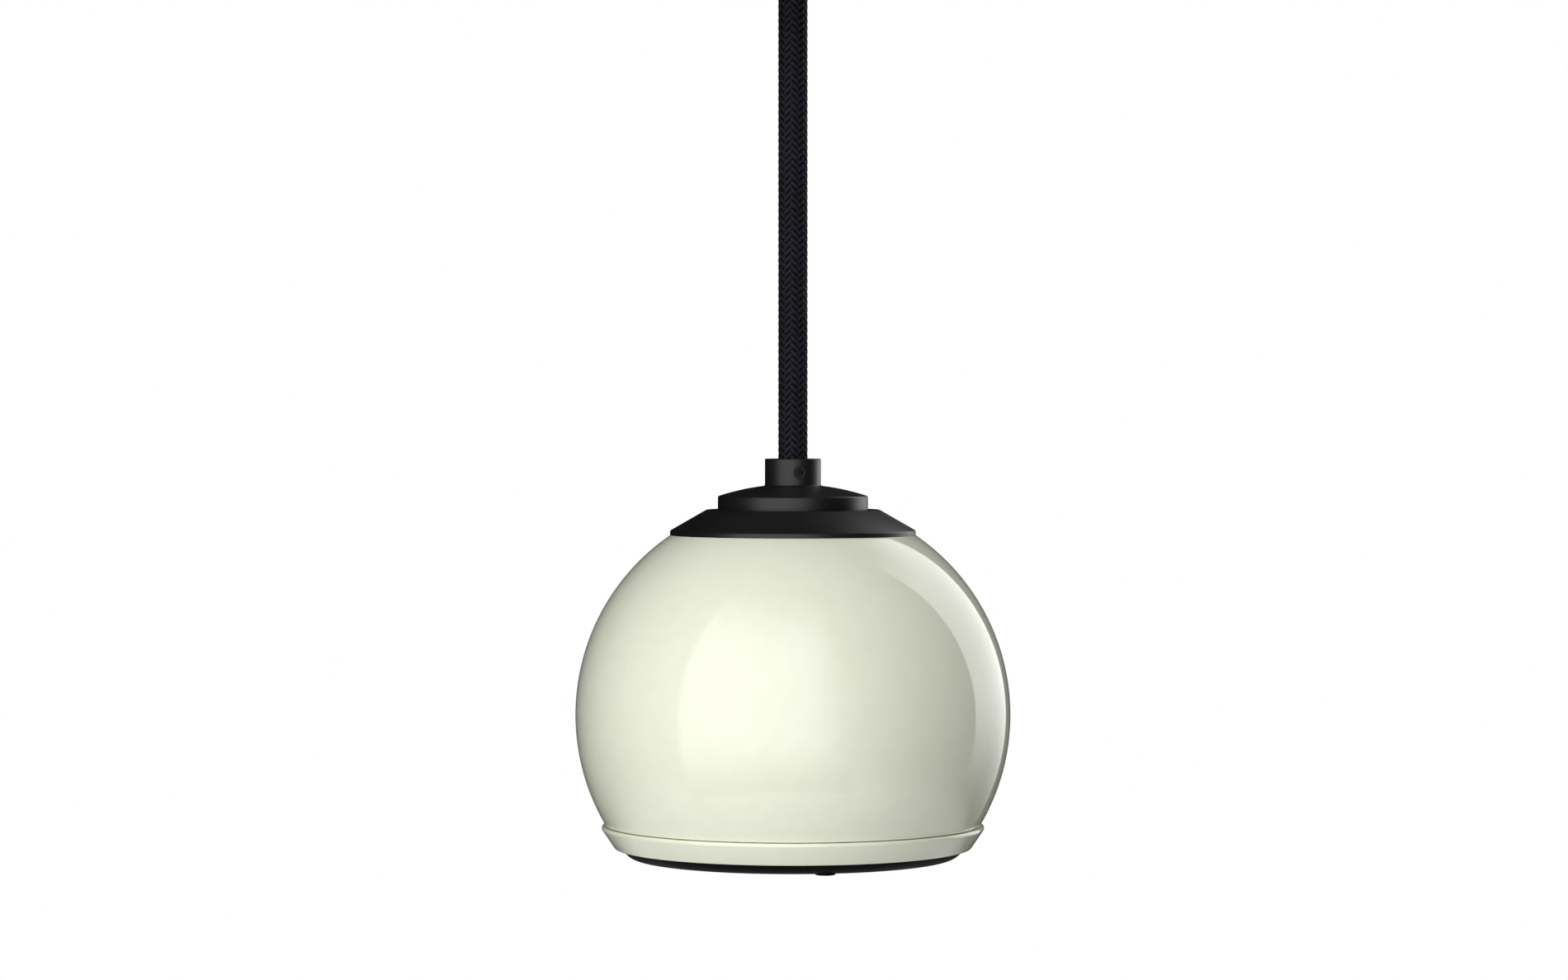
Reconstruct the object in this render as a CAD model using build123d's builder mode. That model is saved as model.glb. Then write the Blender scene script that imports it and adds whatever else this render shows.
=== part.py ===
from build123d import *

import os
from math import atan2, cos, hypot, radians, sin, sqrt, tan

os.makedirs("parts", exist_ok=True)

# A ball loudspeaker that hangs from its ceiling rose on a textile cord.
# Millimetres, +Z up. The origin is where the rose's axis meets the ceiling.
# Heights of pieces in and on the ball are counted from the ball's centre.

# Fits
seat_gap = 0.05
thread_gap = 0.05
slide_gap = 0.15
drill_overrun = 2.0

# Ball
ball_diameter = 100.0
shell_wall = 1.2
mouth_cut = 24.8
crown_radius = 18.0

# Cord
cord_diameter = 6.8
bare_cord = 108.1
core_diameter = 1.8
core_spread = 1.2
core_rise = 3.6

# Crown skirt
skirt_radius = 28.25
skirt_wall = 1.28
skirt_rim = 1.1
skirt_shelf_radius = 19.9
skirt_hub_depth = 1.3

# Gland cap
cap_radius = 17.27
cap_side = 3.1
cap_dome_radius = 55.0
cap_edge_radius = 0.3
cap_wall = 1.5
cap_roof = 0.9
cap_boss_radius = 8.0
neck_radius = 6.45
neck_height = 6.2
neck_foot_radius = 0.35
neck_top_radius = 0.25
neck_bore_gap = 0.15

# Grub screws in the necks
grub_radius = 1.5
grub_recess = 0.35
grub_hex = 1.5
grub_hex_depth = 1.4
grub_bearing = 14.5

# Hollow stem and what clamps it to the shell
stem_radius = 5.0
stem_bore_gap = 0.2
stem_engagement = 4.0
stem_tail = 2.5
washer_radius = 21.0
washer_thickness = 1.5
nut_width = 14.0
nut_height = 3.0
tie_height = 4.0
tie_wall = 1.8
tie_head = 5.0
cord_tail = 3.0

# Bezel round the mouth
shadow_gap = 0.3
lip_stand = 0.77
lip_height = 0.75
lip_radius = 0.35
bezel_height = 5.15
bezel_taper = 34.0
bezel_edge_radius = 0.5
bezel_rim = 1.25
spigot_height = 6.0
spigot_wall = 1.8
flange_width = 8.8
flange_thickness = 1.8
flange_recess = 3.45
snap_hook = 0.5
snap_height = 2.4
snap_fingers = 8
snap_slot = 3.0
snap_slot_depth = 4.5

# Grille dish
grille_gap = 0.1
grille_stand = 2.4
grille_sheet = 0.8
grille_edge_radius = 4.0
grille_border = 2.0
grille_pitch = 4.4
grille_hole = 3.5
pip_radius = 2.3
pip_height = 0.3
pip_inset = 0.5
pip_bearing = 11.7
pip_taper = 30.0

# Driver
gasket_thickness = 0.6
basket_gap = 3.2
basket_sheet = 1.0
basket_rim = 7.0
basket_shelf_radius = 20.5
basket_shelf_rise = 13.0
basket_waist_radius = 17.5
basket_back_rise = 2.4
basket_hole_radius = 13.0
window_width = 60.0
window_margin = 1.2
screw_inset = 2.5
screw_radius = 1.45
screw_head_radius = 2.3
screw_head_height = 1.5
screw_slot = 0.8
screw_bite = 4.5
screw_boss_radius = 2.6
screw_boss_height = 3.5
top_plate_radius = 20.0
top_plate_thickness = 4.0
magnet_radius = 22.5
magnet_bore = 13.5
magnet_thickness = 9.0
pole_radius = 9.4
pole_vent_radius = 2.5
yoke_thickness = 4.0
yoke_chamfer = 1.2
air_gap = 1.8
former_radius = 9.9
former_wall = 0.2
coil_build = 0.5
coil_length = 6.0
spider_sheet = 0.3
spider_waves = 6
spider_swell = 0.55
spider_collar = 0.9
surround_width = 4.5
cone_lip = 1.8
cone_sheet = 0.5
cone_depth = 9.7
cone_flare = 24.0
dust_cap_place = 0.9
dust_cap_height = 3.0
dust_cap_sheet = 0.35
surround_sheet = 0.4
surround_foot = 1.9
surround_roll = 2.0
surround_ring_height = 0.8

# Wiring in the ball
lead_radius = 0.6
tinsel_radius = 0.35
tag_spread = 3.0
tag_gap = 2.1
tag_width = 2.4
tag_thickness = 0.5
tag_rise = 3.0
tag_drop = 4.0
strip_length = 12.0
strip_width = 7.6
strip_thickness = 1.0
tinsel_place = 0.5
tinsel_sag = 1.6
wadding_thickness = 9.0
wadding_foot = 8.0
wadding_opening = 16.3
wadding_gap = 0.3

# Ceiling rose
canopy_radius = 42.0
canopy_wall = 1.2
canopy_height = 25.8
canopy_dome_radius = 160.0
canopy_boss_radius = 8.0
canopy_boss_height = 2.0
bracket_width = 18.0
bracket_sheet = 1.5
bracket_bend = 1.0
bracket_ear = 12.0
slot_spacing = 50.0
slot_width = 4.5
slot_length = 10.0
cable_hole_radius = 5.1
side_screw_drop = 8.0
side_screw_length = 6.0
side_screw_head = 1.8
block_length = 10.0
block_width = 16.0
block_height = 10.0
block_place = 11.0
block_pitch = 8.0
block_hole_radius = 1.2
block_hole_drop = 5.5
clamp_screw_radius = 1.5
clamp_screw_spacing = 5.0
clamp_screw_recess = 0.4
fixing_screw_radius = 1.4
fixing_head_radius = 2.1
fixing_head_height = 1.4
fixing_well_depth = 6.0

# Heights and radii that follow from the sizes above
ball_radius = ball_diameter / 2
shell_inside = ball_radius - shell_wall
cord_radius = cord_diameter / 2
bore_radius = cord_radius + neck_bore_gap


def half_chord(radius, height):
    """Radius of the circle that a plane at this height cuts from a sphere."""
    return sqrt(radius**2 - height**2)


mouth_depth = ball_radius - mouth_cut
mouth_outside = half_chord(ball_radius, mouth_depth)
mouth_inside = half_chord(shell_inside, mouth_depth)
skirt_foot = half_chord(ball_radius, skirt_radius)
shelf_height = half_chord(ball_radius, skirt_shelf_radius) + skirt_wall
cap_edge = shelf_height + cap_side
cap_dome_centre = cap_edge - half_chord(cap_dome_radius, cap_radius)
neck_foot = cap_dome_centre + half_chord(cap_dome_radius, neck_radius)
neck_top = neck_foot + neck_height
stem_top = shelf_height + stem_engagement
washer_top = half_chord(shell_inside, washer_radius) - seat_gap
washer_foot = washer_top - washer_thickness
nut_foot = washer_foot - nut_height
stem_foot = nut_foot - stem_tail
tie_foot = stem_foot - tie_height
cord_foot = tie_foot - cord_tail

lip_top = -mouth_depth - shadow_gap
lip_outside = mouth_outside + lip_stand
bezel_foot = lip_top - bezel_height
bezel_corner = lip_outside - (bezel_height - lip_height) * tan(radians(bezel_taper))
recess_radius = bezel_corner - bezel_rim
flange_foot = bezel_foot + flange_recess
flange_top = flange_foot + flange_thickness
spigot_radius = mouth_inside - slide_gap
spigot_inside = spigot_radius - spigot_wall
flange_radius = spigot_inside - flange_width
spigot_top = lip_top + spigot_height
grille_radius = recess_radius - grille_gap
grille_face = bezel_foot - grille_stand

# The driver's rings, from the basket's rim inwards
basket_radius = recess_radius - basket_gap
screw_circle = basket_radius - screw_inset
basket_mouth_radius = basket_radius - basket_rim
cone_radius = basket_mouth_radius - surround_width
former_outside = former_radius + former_wall
gap_radius = pole_radius + air_gap
tag_circle = magnet_radius + tag_gap

# The driver's heights, from its seat up to the back of the yoke
basket_seat = flange_foot - gasket_thickness
basket_face = basket_seat - basket_sheet
shelf_front = basket_face + basket_shelf_rise
shelf_back = shelf_front + basket_sheet
basket_back = shelf_back + basket_back_rise + basket_sheet
top_plate_top = basket_back + top_plate_thickness
magnet_top = top_plate_top + magnet_thickness
yoke_top = magnet_top + yoke_thickness
coil_middle = basket_back + top_plate_thickness / 2
coil_foot = coil_middle - coil_length / 2
coil_top = coil_middle + coil_length / 2
cone_neck_radius = former_outside + seat_gap
cone_neck = basket_face + cone_depth
cone_lip_radius = cone_radius - cone_lip
roll_middle = (cone_radius + basket_mouth_radius) / 2

ball_height = -(canopy_height + neck_height + bare_cord + neck_top)
nose_foot = -canopy_height - neck_height
canopy_inside = canopy_radius - canopy_wall
canopy_dome_centre = half_chord(canopy_dome_radius, neck_radius) - canopy_height
canopy_edge = canopy_dome_centre - half_chord(canopy_dome_radius, canopy_radius)
canopy_dome_inside = canopy_dome_radius - canopy_wall
canopy_eaves = canopy_dome_centre - half_chord(canopy_dome_inside, canopy_inside)
boss_roof = canopy_dome_centre - half_chord(canopy_dome_inside, canopy_boss_radius)
boss_top = boss_roof + canopy_boss_height
canopy_tie_top = boss_top + tie_height
cord_top = canopy_tie_top + cord_tail
ear_outside = half_chord(canopy_inside, bracket_width / 2) - seat_gap

ball_section = Plane(origin=(0, 0, ball_height), x_dir=(1, 0, 0), z_dir=(0, -1, 0))
rose_section = Plane.XZ


def level(height):
    """The level plane at this height above the ball's centre."""
    return Plane.XY.offset(ball_height + height)


def grub_plane(height, reach):
    """A plane across the grub screw's axis, this far out from the cord's axis."""
    bearing = radians(grub_bearing)
    out = Vector(sin(bearing), -cos(bearing), 0)
    return Plane(origin=out * reach + Vector(0, 0, height), z_dir=out)


def ring_edges(part, radius, height):
    """The round edges of this radius at this height above the origin."""
    rings = part.edges().filter_by(GeomType.CIRCLE)
    rings = rings.filter_by(lambda edge: abs(edge.radius - radius) < 0.01)
    return rings.filter_by(lambda edge: abs(edge.arc_center.Z - height) < 0.01)


def ring(plane, outside, inside, height):
    """A flat ring that stands on a plane."""
    with BuildPart() as body:
        with BuildSketch(plane):
            Circle(outside)
            Circle(inside, mode=Mode.SUBTRACT)
        extrude(amount=height)
    return body.part


def wire(points, bends, radius):
    """A round wire on straight runs that tangent arcs join."""
    with BuildPart() as body:
        with BuildLine() as path:
            FilletPolyline(*points, radius=bends)
        with BuildSketch(Plane(origin=path.line @ 0, z_dir=path.line % 0)):
            Circle(radius)
        sweep(path=path.line)
    return body.part


def grub_screw(height):
    """A headless screw with a hexagon socket, its tip on the cord."""
    tip = cord_radius + seat_gap
    end = neck_radius - grub_recess
    with BuildPart() as body:
        with BuildSketch(grub_plane(height, tip)):
            Circle(grub_radius - thread_gap)
        extrude(amount=end - tip)
        with BuildSketch(grub_plane(height, end)):
            RegularPolygon(grub_hex / 2, 6, major_radius=False)
        extrude(amount=-grub_hex_depth, mode=Mode.SUBTRACT)
    return body.part


def cord_tie(foot):
    """A tie round the cord, with its square head beside it."""
    head_reach = cord_radius + tie_wall
    with BuildPart() as body:
        with BuildSketch(Plane.XY.offset(foot)):
            Circle(cord_radius + tie_wall)
            with Locations((0, head_reach)):
                Rectangle(tie_head, tie_head)
            Circle(cord_radius + seat_gap, mode=Mode.SUBTRACT)
        extrude(amount=tie_height)
    return body.part


def keep(part, name):
    """Labels a finished piece and writes it."""
    part.label = name
    export_step(part, f"parts/{name}.step")


# The spun shell is open at the crown, for the stem, and at the mouth, for the bezel.
with BuildPart() as ball_shell:
    with BuildSketch(ball_section):
        with BuildLine():
            crown_outside = (crown_radius, half_chord(ball_radius, crown_radius))
            crown_inside = (crown_radius, half_chord(shell_inside, crown_radius))
            ThreePointArc((mouth_outside, -mouth_depth), (ball_radius, 0), crown_outside)
            Line(crown_outside, crown_inside)
            ThreePointArc(crown_inside, (shell_inside, 0), (mouth_inside, -mouth_depth))
            Line((mouth_inside, -mouth_depth), (mouth_outside, -mouth_depth))
        make_face()
    revolve(axis=Axis.Z)
keep(ball_shell.part, "ball_shell")

# The skirt's underside follows the ball, and its hub drops into the crown.
with BuildPart() as crown_skirt:
    with BuildSketch(ball_section):
        with BuildLine():
            Polyline(
                (0, shelf_height),
                (skirt_shelf_radius, shelf_height),
                (skirt_radius, skirt_foot + skirt_rim),
                (skirt_radius, skirt_foot - skirt_rim),
                (0, skirt_foot - skirt_rim),
                close=True,
            )
        make_face()
    revolve(axis=Axis.Z)
    under = ball_radius + seat_gap
    with BuildSketch(ball_section):
        with BuildLine():
            ThreePointArc((0, under), (under, 0), (0, -under))
            Line((0, -under), (0, under))
        make_face()
    revolve(axis=Axis.Z, mode=Mode.SUBTRACT)
    hub_radius = crown_radius - slide_gap
    with BuildSketch(level(shelf_height)):
        Circle(hub_radius)
    extrude(amount=-skirt_hub_depth)
    with BuildSketch(level(shelf_height)):
        Circle(stem_radius + thread_gap)
    extrude(amount=skirt_foot - shelf_height, mode=Mode.SUBTRACT)
keep(crown_skirt.part, "crown_skirt")

# The turned cap screws onto the stem and clamps the skirt; the cord leaves by its neck.
with BuildPart() as gland_cap:
    roof = cap_edge - cap_roof
    with BuildSketch(ball_section):
        with BuildLine():
            mid_radius = (cap_radius + neck_radius) / 2
            mid_height = cap_dome_centre + half_chord(cap_dome_radius, mid_radius)
            Polyline((cap_radius, shelf_height), (cap_radius, cap_edge))
            ThreePointArc((cap_radius, cap_edge), (mid_radius, mid_height), (neck_radius, neck_foot))
            Polyline(
                (neck_radius, neck_foot),
                (neck_radius, neck_top),
                (bore_radius, neck_top),
                (bore_radius, stem_top + seat_gap),
                (stem_radius + thread_gap, stem_top + seat_gap),
                (stem_radius + thread_gap, shelf_height),
                (cap_boss_radius, shelf_height),
                (cap_boss_radius, roof),
                (cap_radius - cap_wall, roof),
                (cap_radius - cap_wall, shelf_height),
                (cap_radius, shelf_height),
            )
        make_face()
    revolve(axis=Axis.Z)
    grub_height = ball_height + neck_foot + neck_height / 2
    with BuildSketch(grub_plane(grub_height, 0)):
        Circle(grub_radius)
    extrude(amount=neck_radius + drill_overrun, mode=Mode.SUBTRACT)
    fillet(ring_edges(gland_cap.part, cap_radius, ball_height + cap_edge), cap_edge_radius)
    fillet(ring_edges(gland_cap.part, neck_radius, ball_height + neck_foot), neck_foot_radius)
    fillet(ring_edges(gland_cap.part, neck_radius, ball_height + neck_top), neck_top_radius)
keep(gland_cap.part, "gland_cap")
keep(grub_screw(grub_height), "gland_grub_screw")

# The hollow stem, with the washer and nut that hold it in the shell.
stem_wall_inside = cord_radius + stem_bore_gap
keep(ring(level(stem_foot), stem_radius, stem_wall_inside, stem_top - stem_foot), "threaded_stem")
keep(ring(level(washer_foot), washer_radius, stem_radius + thread_gap, washer_thickness), "clamp_washer")
with BuildPart() as stem_nut:
    with BuildSketch(level(nut_foot)):
        RegularPolygon(nut_width / 2, 6, major_radius=False)
        Circle(stem_radius + thread_gap, mode=Mode.SUBTRACT)
    extrude(amount=nut_height)
keep(stem_nut.part, "stem_nut")

# The cord hangs straight, and a tie at each end keeps it from pulling out.
with BuildPart() as cord:
    with BuildSketch(level(cord_foot)):
        Circle(cord_radius)
    extrude(amount=cord_top - ball_height - cord_foot)
keep(cord.part, "cord")
keep(cord_tie(ball_height + tie_foot), "cord_tie")
keep(cord_tie(boss_top), "canopy_cord_tie")

# The bezel snaps into the mouth; its flange carries the driver and its recess takes the grille.
with BuildPart() as front_bezel:
    with BuildSketch(ball_section):
        with BuildLine():
            Polyline(
                (spigot_radius, spigot_top),
                (spigot_radius, lip_top),
                (lip_outside, lip_top),
                (lip_outside, lip_top - lip_height),
                (bezel_corner, bezel_foot),
                (recess_radius, bezel_foot),
                (recess_radius, flange_foot),
                (flange_radius, flange_foot),
                (flange_radius, flange_top),
                (spigot_inside, flange_top),
                (spigot_inside, spigot_top),
                close=True,
            )
        make_face()
    revolve(axis=Axis.Z)
    fillet(ring_edges(front_bezel.part, bezel_corner, ball_height + bezel_foot), bezel_edge_radius)
    fillet(ring_edges(front_bezel.part, lip_outside, ball_height + lip_top), lip_radius)
    with BuildSketch(ball_section):
        hook_foot = -mouth_depth + slide_gap
        with BuildLine():
            Polyline(
                (spigot_radius - seat_gap, hook_foot),
                (spigot_radius, hook_foot),
                (spigot_radius + snap_hook, hook_foot + snap_hook + slide_gap),
                (spigot_radius, hook_foot + snap_height),
                (spigot_radius - seat_gap, hook_foot + snap_height),
                close=True,
            )
        make_face()
    revolve(axis=Axis.Z)
    with BuildSketch(level(spigot_top)):
        with PolarLocations(spigot_radius, snap_fingers):
            Rectangle(2 * spigot_wall + 2 * snap_hook, snap_slot)
    extrude(amount=-snap_slot_depth, mode=Mode.SUBTRACT)
    with BuildSketch(level(flange_top)):
        with PolarLocations(screw_circle, 4, start_angle=45):
            Circle(screw_boss_radius)
    extrude(amount=screw_boss_height)
    with BuildSketch(level(flange_foot)):
        with PolarLocations(screw_circle, 4, start_angle=45):
            Circle(screw_radius + thread_gap)
    extrude(amount=screw_bite, mode=Mode.SUBTRACT)
keep(front_bezel.part, "front_bezel")

# The grille is one pressed dish, pierced in a honeycomb, with a small pip at its edge.
flat_radius = grille_radius - grille_edge_radius
field_radius = flat_radius - grille_border
rows = int(field_radius / grille_pitch) + 2
row_pitch = grille_pitch * sin(radians(60))
honeycomb = [
    (grille_pitch * (column + 0.5 * (row % 2)), row_pitch * row)
    for row in range(-rows, rows + 1)
    for column in range(-rows, rows + 1)
]
honeycomb = [place for place in honeycomb if hypot(*place) + grille_hole / 2 <= field_radius]
with BuildPart() as grille:
    bend_height = grille_face + grille_edge_radius
    outer_bend = grille_edge_radius * sin(radians(45))
    inner_edge = grille_edge_radius - grille_sheet
    inner_bend = inner_edge * sin(radians(45))
    with BuildSketch(ball_section):
        with BuildLine():
            ThreePointArc(
                (flat_radius, grille_face),
                (flat_radius + outer_bend, bend_height - outer_bend),
                (grille_radius, bend_height),
            )
            Polyline(
                (grille_radius, bend_height),
                (grille_radius, flange_foot),
                (grille_radius - grille_sheet, flange_foot),
                (grille_radius - grille_sheet, bend_height),
            )
            ThreePointArc(
                (grille_radius - grille_sheet, bend_height),
                (flat_radius + inner_bend, bend_height - inner_bend),
                (flat_radius, grille_face + grille_sheet),
            )
            Line((flat_radius, grille_face + grille_sheet), (flat_radius, grille_face))
        make_face()
    revolve(axis=Axis.Z)
    with BuildSketch(level(grille_face)):
        Circle(flat_radius)
        with Locations(*honeycomb):
            RegularPolygon(grille_hole / 2, 6, major_radius=False, rotation=30, mode=Mode.SUBTRACT)
    extrude(amount=grille_sheet)
    pip_root = grille_sheet / 2
    with BuildSketch(level(grille_face + pip_root)):
        with PolarLocations(flat_radius - pip_inset, 1, start_angle=pip_bearing - 90):
            Circle(pip_radius)
    extrude(amount=-pip_root - pip_height, taper=pip_taper)
keep(grille.part, "grille")

# The pressed basket hangs the motor behind the bezel's flange.
with BuildPart() as driver_gasket:
    with BuildSketch(level(basket_seat)):
        Circle(basket_radius)
        Circle(flange_radius, mode=Mode.SUBTRACT)
        with PolarLocations(screw_circle, 4, start_angle=45):
            Circle(screw_radius + slide_gap, mode=Mode.SUBTRACT)
    extrude(amount=gasket_thickness)
keep(driver_gasket.part, "driver_gasket")

with BuildPart() as driver_basket:
    with BuildSketch(ball_section):
        with BuildLine():
            Polyline(
                (basket_radius, basket_face),
                (basket_mouth_radius, basket_face),
                (basket_shelf_radius, shelf_front),
                (basket_waist_radius, shelf_front),
                (basket_waist_radius, basket_back - basket_sheet),
                (basket_hole_radius, basket_back - basket_sheet),
            )
            offset(amount=basket_sheet, side=Side.RIGHT, kind=Kind.INTERSECTION)
        make_face()
    revolve(axis=Axis.Z)
    window_foot = basket_seat + window_margin
    window_top = shelf_front - window_margin
    with BuildSketch(level(window_foot)):
        with PolarLocations(0, 4):
            reach = basket_radius * 1.5
            half = radians(window_width / 2)
            Polygon(
                (0, 0),
                (reach * cos(half), -reach * sin(half)),
                (reach * cos(half), reach * sin(half)),
                align=None,
            )
    extrude(amount=window_top - window_foot, mode=Mode.SUBTRACT)
    with BuildSketch(level(basket_face)):
        with PolarLocations(screw_circle, 4, start_angle=45):
            Circle(screw_radius + slide_gap)
    extrude(amount=basket_sheet, mode=Mode.SUBTRACT)
keep(driver_basket.part, "driver_basket")

with BuildPart() as driver_screws:
    with BuildSketch(level(basket_face)):
        with PolarLocations(screw_circle, 4, start_angle=45):
            Circle(screw_head_radius)
    extrude(amount=-screw_head_height)
    chamfer(driver_screws.edges().group_by(Axis.Z)[0], screw_head_height / 4)
    with BuildSketch(level(basket_face)):
        with PolarLocations(screw_circle, 4, start_angle=45):
            Circle(screw_radius)
    extrude(amount=basket_sheet + gasket_thickness + screw_bite - seat_gap)
    with BuildSketch(level(basket_face - screw_head_height)):
        with PolarLocations(screw_circle, 4, start_angle=45):
            Rectangle(2 * screw_radius, screw_slot)
            Rectangle(screw_slot, 2 * screw_radius)
    extrude(amount=screw_head_height / 2, mode=Mode.SUBTRACT)
keep(driver_screws.part, "driver_screws")

# Motor: a plate and a pole yoke on either side of a ring magnet.
keep(ring(level(basket_back), top_plate_radius, gap_radius, top_plate_thickness), "top_plate")
keep(ring(level(top_plate_top), magnet_radius, magnet_bore, magnet_thickness), "magnet_ring")
with BuildPart() as pole_yoke:
    with BuildSketch(ball_section):
        with BuildLine():
            Polyline(
                (pole_vent_radius, yoke_top),
                (top_plate_radius - yoke_chamfer, yoke_top),
                (top_plate_radius, yoke_top - yoke_chamfer),
                (top_plate_radius, magnet_top),
                (pole_radius, magnet_top),
                (pole_radius, basket_back),
                (pole_vent_radius, basket_back),
                close=True,
            )
        make_face()
    revolve(axis=Axis.Z)
keep(pole_yoke.part, "pole_yoke")

# What moves: coil, former, diaphragm and dust cap.
former_height = coil_top - cone_neck + seat_gap
keep(ring(level(cone_neck - seat_gap), former_outside, former_radius, former_height), "voice_coil_former")
keep(ring(level(coil_foot), former_outside + coil_build, former_outside, coil_length), "voice_coil")


def flare_point(turn, inset=0.0):
    """A point of the diaphragm's section, from 0 at its lip to 1 at its neck, this far behind its front."""
    half_r = (cone_neck_radius - cone_lip_radius) / 2
    half_z = (cone_neck - basket_face) / 2
    chord = hypot(half_r, half_z)
    rise = half_chord(cone_flare, chord)
    centre_r = cone_lip_radius + half_r + rise * half_z / chord
    centre_z = basket_face + half_z - rise * half_r / chord
    start = atan2(basket_face - centre_z, cone_lip_radius - centre_r)
    end = atan2(cone_neck - centre_z, cone_neck_radius - centre_r)
    angle = start + turn * (end - start)
    reach = cone_flare - inset
    return (centre_r + reach * cos(angle), centre_z + reach * sin(angle))


with BuildPart() as diaphragm:
    with BuildSketch(ball_section):
        with BuildLine():
            Line((cone_radius, basket_face), (cone_lip_radius, basket_face))
            ThreePointArc((cone_lip_radius, basket_face), flare_point(0.5), flare_point(1))
            offset(amount=cone_sheet, side=Side.RIGHT, kind=Kind.INTERSECTION)
        make_face()
    revolve(axis=Axis.Z)
keep(diaphragm.part, "diaphragm")

with BuildPart() as dust_cap:
    seat_radius, seat_height = flare_point(dust_cap_place)
    dome_foot = seat_radius - dust_cap_sheet
    dome_radius = (dome_foot**2 + dust_cap_height**2) / (2 * dust_cap_height)
    dome_centre = seat_height - dust_cap_height + dome_radius
    dome_half = dome_foot / 2
    with BuildSketch(ball_section):
        with BuildLine():
            ThreePointArc(
                (dome_foot, seat_height),
                (dome_half, dome_centre - half_chord(dome_radius, dome_half)),
                (0, seat_height - dust_cap_height),
            )
            offset(amount=dust_cap_sheet, side=Side.LEFT)
        make_face()
    revolve(axis=Axis.Z)
keep(dust_cap.part, "dust_cap")

# What bends between the basket and the moving cone: roll surround, spider and tinsel.
with BuildPart() as surround:
    with BuildSketch(ball_section):
        with BuildLine():
            Line((basket_mouth_radius + surround_foot, basket_face), (basket_mouth_radius, basket_face))
            ThreePointArc(
                (basket_mouth_radius, basket_face),
                (roll_middle, basket_face - surround_roll),
                (cone_radius, basket_face),
            )
            Line((cone_radius, basket_face), (cone_lip_radius, basket_face))
            offset(amount=surround_sheet, side=Side.LEFT)
        make_face()
    revolve(axis=Axis.Z)
keep(surround.part, "surround")
ring_outside = basket_mouth_radius + surround_foot
ring_inside = basket_mouth_radius + surround_sheet
ring_top = basket_face - surround_sheet
keep(ring(level(ring_top), ring_outside, ring_inside, -surround_ring_height), "surround_ring")

with BuildPart() as spider:
    wave_start = basket_waist_radius - surround_sheet
    wave_end = former_outside + seat_gap + spider_collar
    wave = (wave_start - wave_end) / spider_waves
    with BuildSketch(ball_section):
        with BuildLine():
            Line((basket_shelf_radius - seat_gap, shelf_front), (wave_start, shelf_front))
            for turn in range(spider_waves):
                crest = shelf_front + spider_swell * (-1) ** turn
                outer = wave_start - turn * wave
                ThreePointArc((outer, shelf_front), (outer - wave / 2, crest), (outer - wave, shelf_front))
            Line((wave_end, shelf_front), (former_outside + seat_gap, shelf_front))
            offset(amount=spider_sheet, side=Side.LEFT)
        make_face()
    revolve(axis=Axis.Z)
keep(spider.part, "spider")

# Terminal strip on the back of the basket's shelf, with a tag for each lead.
tag_top = shelf_back + strip_thickness + tag_rise
tag_foot = shelf_back - tag_drop
strip_inner = basket_waist_radius + basket_sheet + seat_gap
with BuildPart() as terminal_strip:
    with BuildSketch(level(shelf_back)):
        with Locations((0, strip_inner + strip_width / 2)):
            Rectangle(strip_length, strip_width)
        with Locations((-tag_spread, tag_circle), (tag_spread, tag_circle)):
            Rectangle(tag_width, tag_thickness, mode=Mode.SUBTRACT)
    extrude(amount=strip_thickness)
keep(terminal_strip.part, "terminal_strip")
with BuildPart() as terminal_tags:
    with BuildSketch(level(tag_foot)):
        with Locations((-tag_spread, tag_circle), (tag_spread, tag_circle)):
            Rectangle(tag_width, tag_thickness)
    extrude(amount=tag_top - tag_foot)
keep(terminal_tags.part, "terminal_tags")


def bend_radii(points):
    """The radius of the arc at each corner of a route, as large as its two runs allow."""
    places = [Vector(*point) for point in points]
    radii = []
    for before, corner, after in zip(places, places[1:], places[2:]):
        into, out = corner - before, after - corner
        half_turn = radians(into.get_angle(out)) / 2
        radii.append(0.45 * min(into.length, out.length) / tan(half_turn))
    return radii


def tinsel(side):
    """One flexible lead from a tag, through the basket's window, to the cone's back."""
    end_radius, end_height = flare_point(tinsel_place, cone_sheet + tinsel_radius + seat_gap)
    start = tag_circle - tag_thickness / 2 - tinsel_radius - seat_gap
    middle = (start + end_radius) / 2
    foot = ball_height + tag_foot
    return [
        (side * tag_spread, start, foot + tag_drop / 2),
        (side * tag_spread, start - tinsel_sag / 4, foot - tinsel_sag * 3 / 8),
        (side * tag_spread, middle, foot - tinsel_sag),
        (side * tag_spread, sqrt(end_radius**2 - tag_spread**2), ball_height + end_height),
    ]


with BuildPart() as tinsel_leads:
    for side in (-1, 1):
        add(wire(tinsel(side), bend_radii(tinsel(side)), tinsel_radius))
keep(tinsel_leads.part, "tinsel_leads")


def lead_route(side):
    """From the cord's inner end round the motor to the top of a tag."""
    room = cord_foot - yoke_top
    spread = tag_spread - core_spread
    route = []
    for apart, out, up in ((0, 0, 1), (0, 0, 0.75), (0.45, 0.4, 0.4), (0.9, 0.9, 0.17)):
        beside = side * (core_spread + apart * spread)
        route.append((beside, out * tag_circle, ball_height + yoke_top + up * room))
    down = magnet_top - magnet_thickness / 3
    route.append((side * tag_spread, tag_circle, ball_height + down))
    route.append((side * tag_spread, tag_circle, ball_height + tag_top))
    return route


for side, pole in ((-1, "negative"), (1, "positive")):
    route = lead_route(side)
    lead = wire(route, bend_radii(route), lead_radius)
    keep(lead, f"lead_{pole}")
    print("lead radii", [round(radius, 1) for radius in bend_radii(route)])

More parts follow.
